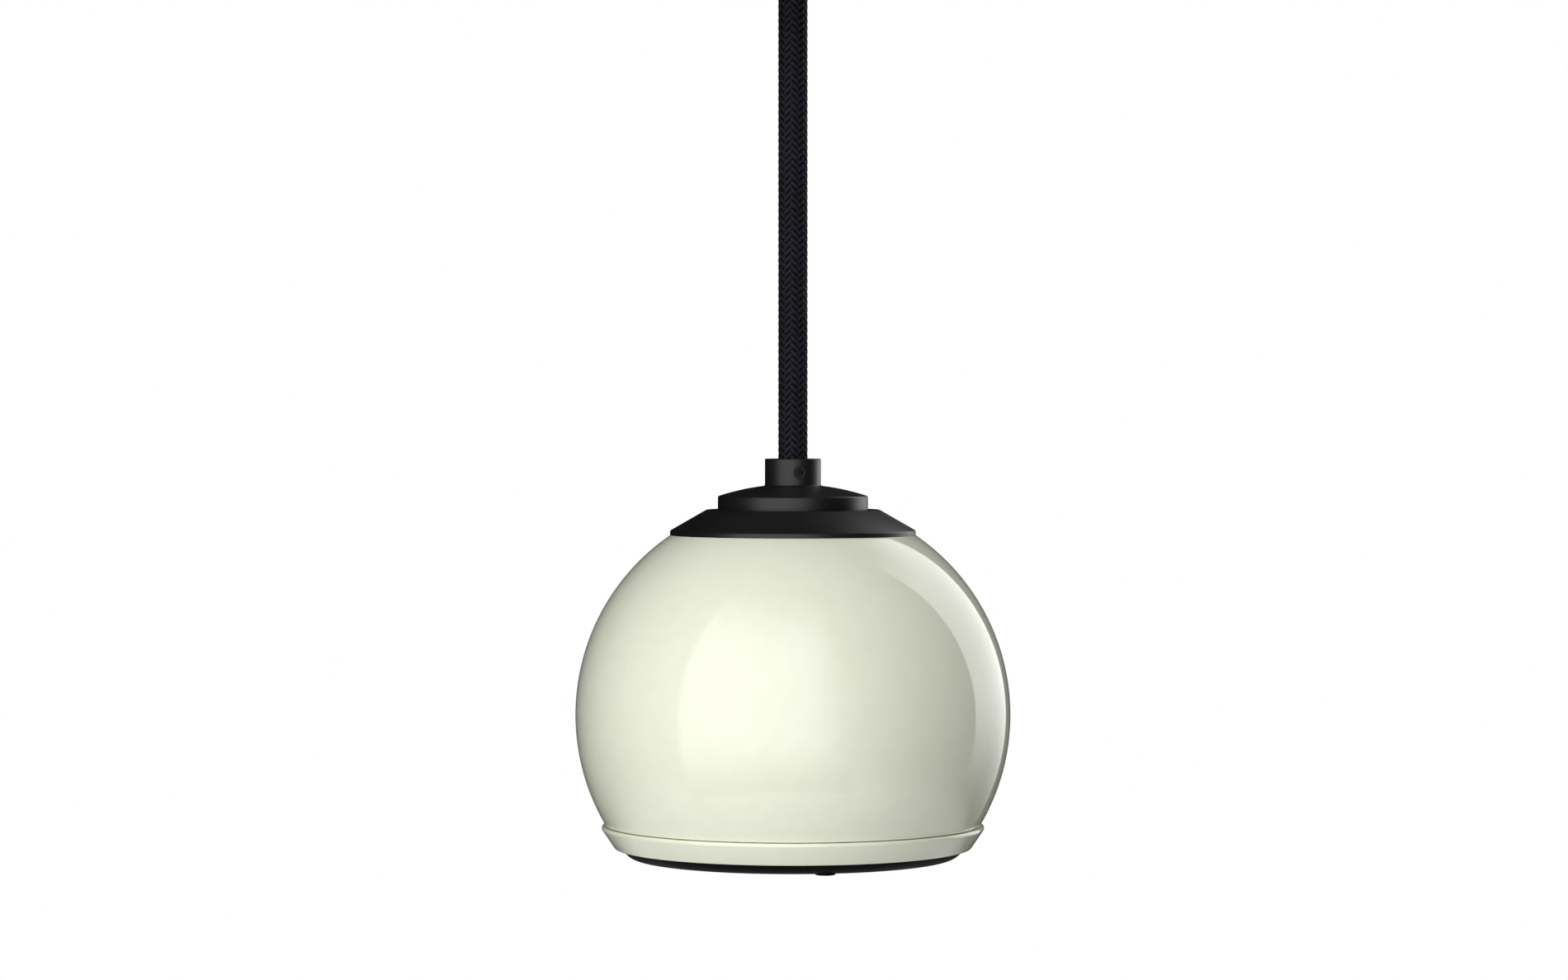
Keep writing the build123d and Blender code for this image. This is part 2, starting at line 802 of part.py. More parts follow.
# Fibre wadding lines the upper half of the shell.
with BuildPart() as wadding:
    outside = shell_inside - wadding_gap
    inside = outside - wadding_thickness
    wadding_top = half_chord(inside, wadding_opening)
    middle = (wadding_foot + wadding_top) / 2
    with BuildSketch(ball_section):
        with BuildLine():
            outer_arc = ThreePointArc(
                (half_chord(outside, wadding_foot), wadding_foot),
                (half_chord(outside, middle), middle),
                (half_chord(outside, wadding_top), wadding_top),
            )
            inner_arc = ThreePointArc(
                (half_chord(inside, wadding_foot), wadding_foot),
                (half_chord(inside, middle), middle),
                (half_chord(inside, wadding_top), wadding_top),
            )
            Line(outer_arc @ 0, inner_arc @ 0)
            Line(outer_arc @ 1, inner_arc @ 1)
        make_face()
    revolve(axis=Axis.Z)
keep(wadding.part, "wadding")

# The canopy is one turned cup; the cord enters by its neck.
with BuildPart() as canopy:
    with BuildSketch(rose_section):
        with BuildLine():
            mid_radius = (canopy_radius + neck_radius) / 2
            mid_height = canopy_dome_centre - half_chord(canopy_dome_radius, mid_radius)
            inner_mid_height = canopy_dome_centre - half_chord(canopy_dome_inside, mid_radius)
            Line((canopy_radius, 0), (canopy_radius, canopy_edge))
            ThreePointArc(
                (canopy_radius, canopy_edge), (mid_radius, mid_height), (neck_radius, -canopy_height)
            )
            Polyline(
                (neck_radius, -canopy_height),
                (neck_radius, nose_foot),
                (bore_radius, nose_foot),
                (bore_radius, boss_top),
                (canopy_boss_radius, boss_top),
                (canopy_boss_radius, boss_roof),
            )
            ThreePointArc(
                (canopy_boss_radius, boss_roof),
                (mid_radius, inner_mid_height),
                (canopy_inside, canopy_eaves),
            )
            Polyline((canopy_inside, canopy_eaves), (canopy_inside, 0), (canopy_radius, 0))
        make_face()
    revolve(axis=Axis.Z)
    canopy_grub_height = nose_foot + neck_height / 2
    with BuildSketch(grub_plane(canopy_grub_height, 0)):
        Circle(grub_radius)
    extrude(amount=neck_radius + drill_overrun, mode=Mode.SUBTRACT)
    with BuildSketch(Plane.YZ):
        with Locations((0, -side_screw_drop)):
            Circle(screw_radius + thread_gap)
    extrude(amount=canopy_radius + drill_overrun, both=True, mode=Mode.SUBTRACT)
    fillet(ring_edges(canopy.part, canopy_radius, canopy_edge), cap_edge_radius)
    fillet(ring_edges(canopy.part, neck_radius, -canopy_height), neck_foot_radius)
    fillet(ring_edges(canopy.part, neck_radius, nose_foot), neck_top_radius)
keep(canopy.part, "canopy")
keep(grub_screw(canopy_grub_height), "canopy_grub_screw")

# A folded strap screws to the ceiling, and the canopy is screwed to its two ears.
with BuildPart() as ceiling_bracket:
    with BuildSketch(rose_section):
        with BuildLine():
            FilletPolyline(
                (ear_outside, -bracket_ear),
                (ear_outside, 0),
                (-ear_outside, 0),
                (-ear_outside, -bracket_ear),
                radius=bracket_bend + bracket_sheet,
            )
            offset(amount=bracket_sheet, side=Side.LEFT)
        make_face()
    extrude(amount=bracket_width / 2, both=True)
    with BuildSketch(Plane.XY):
        with Locations((-slot_spacing / 2, 0), (slot_spacing / 2, 0)):
            SlotOverall(slot_length, slot_width)
        Circle(cable_hole_radius)
        with Locations((block_place, 0)):
            Circle(fixing_screw_radius + thread_gap)
    extrude(amount=-bracket_sheet, mode=Mode.SUBTRACT)
    with BuildSketch(Plane.YZ):
        with Locations((0, -side_screw_drop)):
            Circle(screw_radius + thread_gap)
    extrude(amount=canopy_radius, both=True, mode=Mode.SUBTRACT)
keep(ceiling_bracket.part, "ceiling_bracket")

with BuildPart() as canopy_side_screws:
    for side in (-1, 1):
        head_plane = Plane(origin=(side * canopy_radius, 0, -side_screw_drop), z_dir=(side, 0, 0))
        with BuildSketch(head_plane):
            Circle(screw_head_radius)
        extrude(amount=side_screw_head)
        with BuildSketch(head_plane):
            Circle(screw_radius)
        extrude(amount=-side_screw_length)
        with BuildSketch(head_plane.offset(side_screw_head)):
            Rectangle(2 * screw_head_radius, screw_slot)
        extrude(amount=-side_screw_head / 2, mode=Mode.SUBTRACT)
keep(canopy_side_screws.part, "canopy_side_screws")

# Terminal block under the strap, where the cord's cores meet the supply.
block_top = -bracket_sheet
block_foot = block_top - block_height
hole_height = block_top - block_hole_drop
wells = [
    (block_place + end * clamp_screw_spacing / 2, row * block_pitch / 2)
    for end in (-1, 1)
    for row in (-1, 1)
]
with BuildPart() as terminal_block:
    with BuildSketch(Plane.XY.offset(block_foot)):
        with Locations((block_place, 0)):
            Rectangle(block_length, block_width)
    extrude(amount=block_height)
    fillet(terminal_block.edges().filter_by(Axis.Z), fixing_screw_radius / 2)
    with BuildSketch(Plane.YZ.offset(block_place - block_length / 2)):
        with Locations((-block_pitch / 2, hole_height), (block_pitch / 2, hole_height)):
            Circle(block_hole_radius)
    extrude(amount=block_length, mode=Mode.SUBTRACT)
    with BuildSketch(Plane.XY.offset(block_foot)):
        with Locations(*wells):
            Circle(clamp_screw_radius + thread_gap)
    extrude(amount=hole_height - block_foot, mode=Mode.SUBTRACT)
    with BuildSketch(Plane.XY.offset(block_foot)):
        with Locations((block_place, 0)):
            Circle(fixing_head_radius + slide_gap)
    extrude(amount=fixing_well_depth, mode=Mode.SUBTRACT)
    with BuildSketch(Plane.XY.offset(block_foot)):
        with Locations((block_place, 0)):
            Circle(fixing_screw_radius + thread_gap)
    extrude(amount=block_height, mode=Mode.SUBTRACT)
keep(terminal_block.part, "terminal_block")

with BuildPart() as clamp_screws:
    screw_end = hole_height - core_diameter / 2 - seat_gap
    with BuildSketch(Plane.XY.offset(block_foot + clamp_screw_recess)):
        with Locations(*wells):
            Circle(clamp_screw_radius)
    extrude(amount=screw_end - block_foot - clamp_screw_recess)
    with BuildSketch(Plane.XY.offset(block_foot + clamp_screw_recess)):
        with Locations(*wells):
            Rectangle(2 * clamp_screw_radius, screw_slot)
    extrude(amount=screw_slot, mode=Mode.SUBTRACT)
keep(clamp_screws.part, "clamp_screws")

with BuildPart() as block_fixing_screw:
    head_seat = block_foot + fixing_well_depth
    with BuildSketch(Plane.XY.offset(head_seat)):
        with Locations((block_place, 0)):
            Circle(fixing_head_radius)
    extrude(amount=-fixing_head_height)
    with BuildSketch(Plane.XY.offset(head_seat)):
        with Locations((block_place, 0)):
            Circle(fixing_screw_radius)
    extrude(amount=-head_seat - seat_gap)
    with BuildSketch(Plane.XY.offset(head_seat - fixing_head_height)):
        with Locations((block_place, 0)):
            Rectangle(2 * fixing_head_radius, screw_slot)
    extrude(amount=fixing_head_height / 2, mode=Mode.SUBTRACT)
keep(block_fixing_screw.part, "block_fixing_screw")


def core_route(side):
    """From the cord's upper end into the terminal block."""
    entry = block_place - block_length / 2
    row = side * block_pitch / 2
    return [
        (0, side * core_spread, cord_top),
        (0, side * core_spread, cord_top + core_rise),
        (entry * 0.45, row * 0.9, hole_height - core_diameter / 2),
        (entry, row, hole_height),
        (block_place + clamp_screw_spacing / 2 + clamp_screw_radius, row, hole_height),
    ]


for side, pole in ((-1, "negative"), (1, "positive")):
    route = core_route(side)
    keep(wire(route, bend_radii(route), core_diameter / 2), f"core_{pole}")
    print("core radii", [round(radius, 1) for radius in bend_radii(route)])
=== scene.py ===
import logging
from collections.abc import Callable, Iterable, Mapping, Sequence
from dataclasses import dataclass
from enum import Enum
from math import atan2, cos, degrees, hypot, pi, radians, sin, sqrt, tan

import bmesh
import bpy
import numpy as np
from mathutils import Matrix, Vector


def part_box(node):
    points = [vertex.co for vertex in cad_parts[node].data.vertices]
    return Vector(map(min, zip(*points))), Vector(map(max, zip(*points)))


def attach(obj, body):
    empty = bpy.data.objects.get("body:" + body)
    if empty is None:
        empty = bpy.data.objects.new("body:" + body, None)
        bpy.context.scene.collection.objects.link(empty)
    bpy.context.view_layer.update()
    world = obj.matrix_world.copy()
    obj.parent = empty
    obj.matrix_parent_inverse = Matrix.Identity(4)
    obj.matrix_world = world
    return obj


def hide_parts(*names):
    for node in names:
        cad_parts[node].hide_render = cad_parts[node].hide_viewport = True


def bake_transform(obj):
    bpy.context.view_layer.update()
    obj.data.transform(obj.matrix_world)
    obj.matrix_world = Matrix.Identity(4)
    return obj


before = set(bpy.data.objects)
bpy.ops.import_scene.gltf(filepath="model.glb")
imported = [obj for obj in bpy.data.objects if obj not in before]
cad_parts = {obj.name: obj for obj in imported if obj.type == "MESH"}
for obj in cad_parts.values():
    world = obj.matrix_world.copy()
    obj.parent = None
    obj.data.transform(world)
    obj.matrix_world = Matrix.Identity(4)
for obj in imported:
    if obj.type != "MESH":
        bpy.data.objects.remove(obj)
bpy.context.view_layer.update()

# The looks of a ball loudspeaker that hangs from its ceiling rose on a braided cord.
# Sizes are in millimetres, as a maker writes them, and MM turns them to Blender's metres.

LOG = logging.getLogger("pendant_speaker")
MM = 0.001
# Points closer than this, in metres, are one point.
WELD = 0.001 * MM
# A point this close to an edge's place, in metres, is taken to lie on the edge.
NEAR = 0.02 * MM
# A face whose normal's height is below this looks down.
DOWNWARD = -0.9
# How far a drill or a cutter reaches past what it cuts, in millimetres.
OVERRUN = 1.0
# Edges sharper than these many degrees stay crisp: on most pieces, on lacquer and on the braid.
CRISP = 35.0
CRISP_LACQUER = 25.0
CRISP_BRAID = 60.0
# Facets round a turned piece, and round a screw hole or a boss.
TURN_FACETS = 192
HOLE_FACETS = 48
WHITE = (1.0, 1.0, 1.0, 1.0)
# What a Map Range node maps, and to what.
SPAN = ("From Min", "From Max", "To Min", "To Max")
HOUSING = "housing"
Point = tuple[float, float]
# An edge's radius and height, how far its rounding reaches, and the facets across it.
Rounding = tuple[float, float, float, int]
Part = bmesh.types.BMEdge | bmesh.types.BMFace
Piece = bpy.types.Object
Tree = bpy.types.NodeTree
Socket = bpy.types.NodeSocket
Source = bpy.types.Node | Socket


# Modelling tools


def select_only(piece: Piece) -> None:
    """Leaves one object selected and active.

    Args:
        piece: The object.
    """
    bpy.ops.object.select_all(action="DESELECT")
    piece.select_set(True)
    bpy.context.view_layer.objects.active = piece


def half_chord(radius: float, height: float) -> float:
    """Radius of the circle that a plane at this height cuts from a sphere."""
    return sqrt(radius**2 - height**2)


def rise_at(radius: float, out: float) -> float:
    """Angle from level, in degrees, at which an arc of this radius reaches this far out."""
    return degrees(atan2(half_chord(radius, out), out))


def rise_between(value: np.ndarray, start: float, end: float) -> np.ndarray:
    """Rises smoothly from 0 at the start to 1 at the end, or falls where the end comes first."""
    share = np.clip((value - start) / (end - start), 0, 1)
    return share * share * (3 - 2 * share)


def arc(centre: Point, radius: float, start: float, end: float, steps: int) -> list[Point]:
    """Points along a round stretch of a section.

    Args:
        centre: Radius and height of the arc's own centre.
        radius: The arc's radius.
        start: Angle of the first point, in degrees from straight out.
        end: Angle of the last point.
        steps: How many straight pieces stand for the arc.

    Returns:
        The points, both ends among them.
    """
    angles = [radians(start + (end - start) * step / steps) for step in range(steps + 1)]
    return [(centre[0] + radius * cos(a), centre[1] + radius * sin(a)) for a in angles]


def turned(
    name: str,
    outline: Sequence[Point],
    centre: float,
    roundings: Sequence[Rounding] = (),
    closed: bool = True,
) -> Piece:
    """Turns a section round the upright axis, as on a lathe.

    Args:
        name: The new piece's name.
        outline: Radius and height of each point of the section, in millimetres.
        centre: The height that the section counts from, in metres.
        roundings: The edges to round.
        closed: Whether the last point joins the first.

    Returns:
        The turned piece, with its faces outwards.
    """
    bpy.ops.object.select_all(action="DESELECT")
    radius, height = outline[0]
    bpy.ops.mesh.primitive_plane_add(size=MM, location=(radius * MM, 0, centre + height * MM))
    piece = bpy.context.object
    piece.name = name
    bpy.ops.object.transform_apply(location=True)
    bpy.ops.object.mode_set(mode="EDIT")
    bpy.ops.mesh.select_mode(type="VERT")
    bpy.ops.mesh.select_all(action="SELECT")
    bpy.ops.mesh.merge(type="CENTER")
    for out, up in [*outline[1:], outline[0]] if closed else outline[1:]:
        step = ((out - radius) * MM, 0, (up - height) * MM)
        bpy.ops.mesh.extrude_region_move(TRANSFORM_OT_translate={"value": step})
        radius, height = out, up
    bpy.ops.mesh.select_all(action="SELECT")
    bpy.ops.mesh.remove_doubles(threshold=WELD)
    bpy.ops.mesh.spin(steps=TURN_FACETS, angle=2 * pi, center=(0, 0, 0), axis=(0, 0, 1))
    bpy.ops.mesh.select_all(action="SELECT")
    bpy.ops.mesh.remove_doubles(threshold=WELD)
    bpy.ops.mesh.normals_make_consistent(inside=False)
    bpy.ops.object.mode_set(mode="OBJECT")
    for radius, height, width, segments in roundings:
        round_ring(piece, radius, centre + height * MM, width, segments)
    return piece


def pick(piece: Piece, kind: str, chosen: Callable[[Part], bool]) -> None:
    """Opens a piece for editing, with only some of its edges or faces selected.

    Args:
        piece: The piece.
        kind: EDGE or FACE.
        chosen: Tells whether one of them is selected.
    """
    select_only(piece)
    bpy.ops.object.mode_set(mode="EDIT")
    bpy.ops.mesh.select_mode(type=kind)
    bpy.ops.mesh.select_all(action="DESELECT")
    mesh = bmesh.from_edit_mesh(piece.data)
    for part in mesh.edges if kind == "EDGE" else mesh.faces:
        part.select_set(chosen(part))
    bmesh.update_edit_mesh(piece.data)


def looks_down(face: Part) -> bool:
    """Tells whether a face looks down."""
    return face.normal.z < DOWNWARD


def round_ring(piece: Piece, radius: float, height: float, width: float, segments: int) -> None:
    """Rounds a round edge of a turned piece.

    Args:
        piece: The turned piece.
        radius: The edge's radius, in millimetres.
        height: The edge's height above the origin, in metres.
        width: How far the rounding reaches on either side, in millimetres.
        segments: Facets across the rounding.
    """

    def off(end: bmesh.types.BMVert) -> float:
        """How far a point is from the ring, in metres."""
        return max(abs(hypot(end.co.x, end.co.y) - radius * MM), abs(end.co.z - height))

    pick(piece, "EDGE", lambda edge: all(off(end) < NEAR for end in edge.verts))
    bpy.ops.mesh.bevel(offset=width * MM, segments=segments, affect="EDGES")
    bpy.ops.object.mode_set(mode="OBJECT")


def thicken(sheet: Piece, thickness: float, side: float) -> None:
    """Gives a sheet its thickness.

    Args:
        sheet: The open sheet.
        thickness: Its thickness, in millimetres.
        side: -1 where the thickness goes inwards, 0 where half goes to either side.
    """
    select_only(sheet)
    wall = sheet.modifiers.new("wall", "SOLIDIFY")
    wall.thickness = thickness * MM
    wall.offset = side
    bpy.ops.object.modifier_apply(modifier=wall.name)


def rod(radius: float, depth: float, middle: Sequence[float], facets: int = HOLE_FACETS) -> Piece:
    """Adds an upright rod, its place in its mesh.

    Args:
        radius: The rod's radius, in millimetres.
        depth: Its length, in millimetres.
        middle: The point at half its length, in metres.
        facets: Faces round it.

    Returns:
        The rod, selected and active.
    """
    bpy.ops.object.select_all(action="DESELECT")
    bpy.ops.mesh.primitive_cylinder_add(
        vertices=facets, radius=radius * MM, depth=depth * MM, location=middle
    )
    bpy.ops.object.transform_apply(location=True)
    return bpy.context.object


class Carving(Enum):
    """What a tool does to the piece that it meets."""

    CUT = "DIFFERENCE"
    WELD_ON = "UNION"


def carve(piece: Piece, tool: Piece, carving: Carving = Carving.CUT) -> None:
    """Cuts or builds up a piece with another, which is used up.

    Args:
        piece: The piece that loses or gains material.
        tool: The closed shape that is taken away or welded on.
        carving: Which of the two.
    """
    select_only(piece)
    work = piece.modifiers.new("carving", "BOOLEAN")
    work.operation = carving.value
    work.solver = "EXACT"
    work.object = tool
    bpy.ops.object.modifier_apply(modifier=work.name)
    bpy.data.objects.remove(tool)


def drill(piece: Piece, centre: Vector, along: Vector, radius: float, depth: float) -> None:
    """Drills a round hole into a piece.

    Args:
        piece: The piece to drill.
        centre: Middle of the drill's length, in metres.
        along: The drill's direction.
        radius: The hole's radius, in millimetres.
        depth: The drill's whole length, in millimetres.
    """
    turn = along.to_track_quat("Z", "Y").to_euler()
    bpy.ops.object.select_all(action="DESELECT")
    bpy.ops.mesh.primitive_cylinder_add(
        vertices=HOLE_FACETS, radius=radius * MM, depth=depth * MM, location=centre, rotation=turn
    )
    carve(piece, bpy.context.object)


def joined(pieces: Sequence[Piece]) -> Piece:
    """Joins several objects.

    Args:
        pieces: The objects.

    Returns:
        The first of them, which holds them all.
    """
    bpy.ops.object.select_all(action="DESELECT")
    for piece in pieces:
        piece.select_set(True)
    bpy.context.view_layer.objects.active = pieces[0]
    bpy.ops.object.join()
    return pieces[0]


def copied(first: Piece, move: Matrix) -> Piece:
    """Copies a piece, mesh and all.

    Args:
        first: The piece, its place in its mesh.
        move: How the copy is moved or turned from it.

    Returns:
        The copy.
    """
    copy = first.copy()
    copy.data = first.data.copy()
    copy.data.transform(move)
    bpy.context.collection.objects.link(copy)
    return copy


def ringed(first: Piece, count: int) -> Piece:
    """Repeats a piece round the upright axis.

    Args:
        first: The piece, its place in its mesh.
        count: How many stand round the axis, the first among them.

    Returns:
        All of them as one object.
    """
    turns = [Matrix.Rotation(2 * pi * place / count, 4, "Z") for place in range(1, count)]
    return joined([first, *[copied(first, turn) for turn in turns]])


# Finishes


def linear(colour: str) -> tuple[float, float, float, float]:
    """Turns an sRGB hex colour to the linear one that shaders take.

    Args:
        colour: The colour, as #RRGGBB.

    Returns:
        Red, green, blue and a full alpha.
    """
    parts = [int(colour[place : place + 2], 16) / 255 for place in (1, 3, 5)]
    red, green, blue = (
        part / 12.92 if part <= 0.04045 else ((part + 0.055) / 1.055) ** 2.4 for part in parts
    )
    return (red, green, blue, 1.0)


def add_node(
    tree: Tree,
    kind: str,
    settings: Mapping[str | int, object] | None = None,
    links: Mapping[str | int, Source] | None = None,
) -> bpy.types.Node:
    """Adds one shader node to a tree, with its settings and links.

    Args:
        tree: The tree that the node goes into.
        kind: Blender's name for the kind of node, without the ShaderNode that it starts with.
        settings: Values of the node's properties or inputs, by name or place.
        links: What feeds the node's inputs: a socket, or a node for its first output.

    Returns:
        The new node.
    """
    node = tree.nodes.new("ShaderNode" + kind)
    for name, value in (settings or {}).items():
        if isinstance(name, str) and hasattr(node, name):
            setattr(node, name, value)
        else:
            node.inputs[name].default_value = value
    for name, source in (links or {}).items():
        socket = source.outputs[0] if isinstance(source, bpy.types.Node) else source
        tree.links.new(socket, node.inputs[name])
    return node


def bare_tree(piece: Piece, name: str) -> Tree:
    """Gives a piece a new material whose node tree is empty.

    Args:
        piece: The piece.
        name: The material's name.

    Returns:
        The empty tree.
    """
    made = bpy.data.materials.new(name)
    made.use_nodes = True
    made.node_tree.nodes.clear()
    piece.data.materials.append(made)
    return made.node_tree


class Grain(Enum):
    """How a surface was made, which gives its fine relief."""

    SPRAYED = "sprayed"
    POWDERED = "powdered"
    TURNED = "turned"
    BRUSHED = "brushed"
    BRAIDED = "braided"
    CAST = "cast"
    FELTED = "felted"
    WOVEN = "woven"
    MOULDED = "moulded"
    WOUND = "wound"


# How much finer each grain's noise gets than its own size, in octaves.
DETAIL = {Grain.SPRAYED: 0.5, Grain.POWDERED: 2.0, Grain.FELTED: 5.0, Grain.WOUND: 0.0}
PLAIN_DETAIL = 3.0
# Brushing and felting draw the grain out, by these scales of the pattern along X, Y and Z.
STRETCH = {Grain.BRUSHED: (0.06, 1.0, 1.0), Grain.FELTED: (0.35, 1.0, 0.6)}
# A wave texture turns 20 radians a unit. At this share of the grain's fineness it turns one a
# grain, so a thread is about 6 grains wide, coarser than in the real cloth so that it shows.
WAVE = 0.05
# A braid's filaments run this many millimetres, and a strand lies flat over this share of its
# half width before it sinks to its edge, which takes a painted shade.
FILAMENT_RUN = 2.0
FLAT_SHARE = 0.45
# Scale of the patches in which a surface is a little duller, each about 17 mm across.
PATCHES = 60.0
# Share of the random patches in a surface's colour, beside its grain, and the noise that they span.
# The grain's hollows and the low patches take the darker colour: painted shade.
PATCH_SHARE = 0.35
PATCH_RANGE = (0.3, 0.7)


@dataclass(frozen=True)
class Finish:
    """One surface: its material, and how it was worked.

    The grain's size is the width of one grain, thread or scratch, and its depth is the relief's.
    Both are in millimetres. The two colours are those of the crests and the hollows; the darker one
    is painted shade in the relief's hollows, mixed with random patches of tone.
    """

    name: str
    slot: str
    crest: str
    hollow_shade_and_tone: str
    grain: Grain
    size: float
    depth: float
    roughness: tuple[float, float]
    metallic: float = 0.0
    ior: float = 1.5
    sheen: float = 0.0
    specular: float = 0.5

    def relief(self, tree: Tree) -> Socket:
        """Draws the grain's relief.

        Args:
            tree: The material's tree.

        Returns:
            The relief's height, from 0 in its hollows to 1 on its crests.
        """
        if self.grain is Grain.BRAIDED:
            return self.filaments(tree)
        place = add_node(tree, "TexCoord").outputs["Object"]
        fine = 1 / (self.size * MM)
        if self.grain is Grain.WOVEN:
            return self.weave(tree, place, fine * WAVE)
        if self.grain is Grain.CAST:
            cells = add_node(tree, "TexVoronoi", {"Scale": fine}, {"Vector": place})
            return cells.outputs["Distance"]
        if self.grain in (Grain.TURNED, Grain.WOUND):
            place = self.rings(tree, place)
        if self.grain in STRETCH:
            drawn = add_node(tree, "Mapping", {"Scale": STRETCH[self.grain]}, {"Vector": place})
            place = drawn.outputs[0]
        settings = {"Scale": fine / 2, "Detail": DETAIL.get(self.grain, PLAIN_DETAIL)}
        return add_node(tree, "TexNoise", settings, {"Vector": place}).outputs["Fac"]

    def rings(self, tree: Tree, place: Socket) -> Socket:
        """Lays a pattern in rings round the upright axis.

        Args:
            tree: The material's tree.
            place: The point on the object.

        Returns:
            The point's distance from the axis, and its height.
        """
        split = add_node(tree, "SeparateXYZ", links={0: place}).outputs
        square = {"operation": "POWER", 1: 2.0}
        across, deep = (add_node(tree, "Math", square, {0: split[axis]}) for axis in ("X", "Y"))
        both = add_node(tree, "Math", {"operation": "ADD"}, {0: across, 1: deep})
        out = add_node(tree, "Math", {"operation": "SQRT"}, {0: both})
        return add_node(tree, "CombineXYZ", links={"X": out, "Y": split["Z"]}).outputs[0]

    def weave(self, tree: Tree, place: Socket, scale: float) -> Socket:
        """Crosses two sets of threads.

        Args:
            tree: The material's tree.
            place: The point on the object.
            scale: The wave texture's scale.

        Returns:
            The cloth's height.
        """
        settings = {"Scale": scale, "Distortion": 0.6, "Detail": 1.0}
        warp, weft = (
            add_node(tree, "TexWave", {"bands_direction": axis, **settings}, {"Vector": place})
            for axis in ("X", "Y")
        )
        threads = {0: warp.outputs["Fac"], 1: weft.outputs["Fac"]}
        return add_node(tree, "Math", {"operation": "MULTIPLY"}, threads).outputs[0]

    def filaments(self, tree: Tree) -> Socket:
        """Draws fine filaments along each strand, which sinks towards its two edges and darkens
        there as painted shade.

        The piece's map runs in millimetres along a strand and from 0 to 1 across it.

        Args:
            tree: The material's tree.

        Returns:
            The strand's height.
        """
        strand = add_node(tree, "UVMap", {"uv_map": "strand"})
        lay = {"Scale": (1 / FILAMENT_RUN, 1 / self.size, 1.0)}
        drawn = add_node(tree, "Mapping", lay, {"Vector": strand})
        noise = add_node(tree, "TexNoise", {"Scale": 1.0, "Detail": 2.0}, {"Vector": drawn})
        across = add_node(tree, "SeparateXYZ", links={0: strand}).outputs["Y"]
        share = add_node(tree, "Math", {"operation": "PINGPONG", 1: 1.0}, {0: across})
        centred = {"operation": "MULTIPLY_ADD", 1: 2.0, 2: -1.0}
        off = add_node(tree, "Math", centred, {0: share})
        edge = add_node(tree, "Math", {"operation": "ABSOLUTE"}, {0: off})
        settings = dict(zip(SPAN, (FLAT_SHARE, 1.0, 1.0, 0.0)))
        crown = add_node(tree, "MapRange", settings, {"Value": edge})
        heights = {0: crown, 1: noise.outputs["Fac"]}
        return add_node(tree, "Math", {"operation": "MULTIPLY"}, heights).outputs[0]

    def material(self) -> bpy.types.Material:
        """Builds the material, or finds it if a piece has used it before.

        Returns:
            The material.
        """
        found = bpy.data.materials.get(self.name)
        if found:
            return found
        made = bpy.data.materials.new(self.name)
        made.use_nodes = True
        tree = made.node_tree
        height = self.relief(tree)
        place = add_node(tree, "TexCoord").outputs["Object"]
        settings = {"Scale": PATCHES, "Detail": 2.0}
        patches = add_node(tree, "TexNoise", settings, {"Vector": place}).outputs["Fac"]
        settings = {"operation": "MULTIPLY_ADD", 1: PATCH_SHARE}
        share = add_node(tree, "Math", settings, {0: patches, 2: height})
        settings = dict(zip(SPAN, (PATCH_SHARE, 1.0, 0.0, 1.0)))
        spread = add_node(tree, "MapRange", settings, {"Value": share})
        # Painted shade: the relief's hollows and the duller patches take the darker colour, and the
        # crests take the lighter one.
        settings = {"data_type": "RGBA", 6: linear(self.hollow_shade_and_tone), 7: linear(self.crest)}
        colour = add_node(tree, "Mix", settings, {0: spread}).outputs[2]
        settings = dict(zip(SPAN, (*PATCH_RANGE, *self.roughness)))
        rough = add_node(tree, "MapRange", settings, {"Value": patches})
        settings = {"Strength": 1.0, "Distance": self.depth * MM}
        bump = add_node(tree, "Bump", settings, {"Height": height})
        inputs = tree.nodes["Principled BSDF"].inputs
        tree.links.new(colour, inputs["Base Color"])
        tree.links.new(rough.outputs[0], inputs["Roughness"])
        tree.links.new(bump.outputs[0], inputs["Normal"])
        inputs["Metallic"].default_value = self.metallic
        inputs["IOR"].default_value = self.ior
        inputs["Sheen Weight"].default_value = self.sheen
        inputs["Specular IOR Level"].default_value = self.specular
        return made


# Sprayed gloss enamel on the spun shell and bezel: a deep clean shine over a greenish cream.
CREAM_ENAMEL = Finish(
    "cream_gloss_enamel", "cream_enamel", "#EEF1DD", "#EBEEDA",
    Grain.SPRAYED, 1.6, 0.0006, (0.03, 0.05),
)
# Satin lacquer on turned brass: soft grey highlights that hide the tool marks.
BLACK_SATIN = Finish(
    "black_satin_lacquer", "black_satin", "#141415", "#0F0F10",
    Grain.POWDERED, 0.18, 0.004, (0.37, 0.45), specular=0.38,
)
# Chemical black on the small set screws: thin, dull and slightly brown, darkened further as painted
# shade, so that each recessed screw reads as the shaded hole round it.
BLACK_OXIDE_AND_SHADE = Finish(
    "black_oxide_and_painted_shade", "black_satin", "#1D1C1B", "#131212",
    Grain.BRUSHED, 0.10, 0.002, (0.34, 0.46), specular=0.3,
)
# Powder coat on pressed steel: a fine even tooth that spreads the light.
GRILLE_BLACK = Finish(
    "black_powder_coat", "grille_black", "#09090B", "#040405",
    Grain.POWDERED, 0.22, 0.008, (0.50, 0.62), specular=0.045,
)
# Zinc plate on small steel parts: bright, bluish and slightly cloudy.
ZINC_PLATE = Finish(
    "zinc_plated_steel", "zinc_plate", "#C9CCCF", "#B2B6BA",
    Grain.BRUSHED, 0.12, 0.002, (0.34, 0.48), 0.8,
)
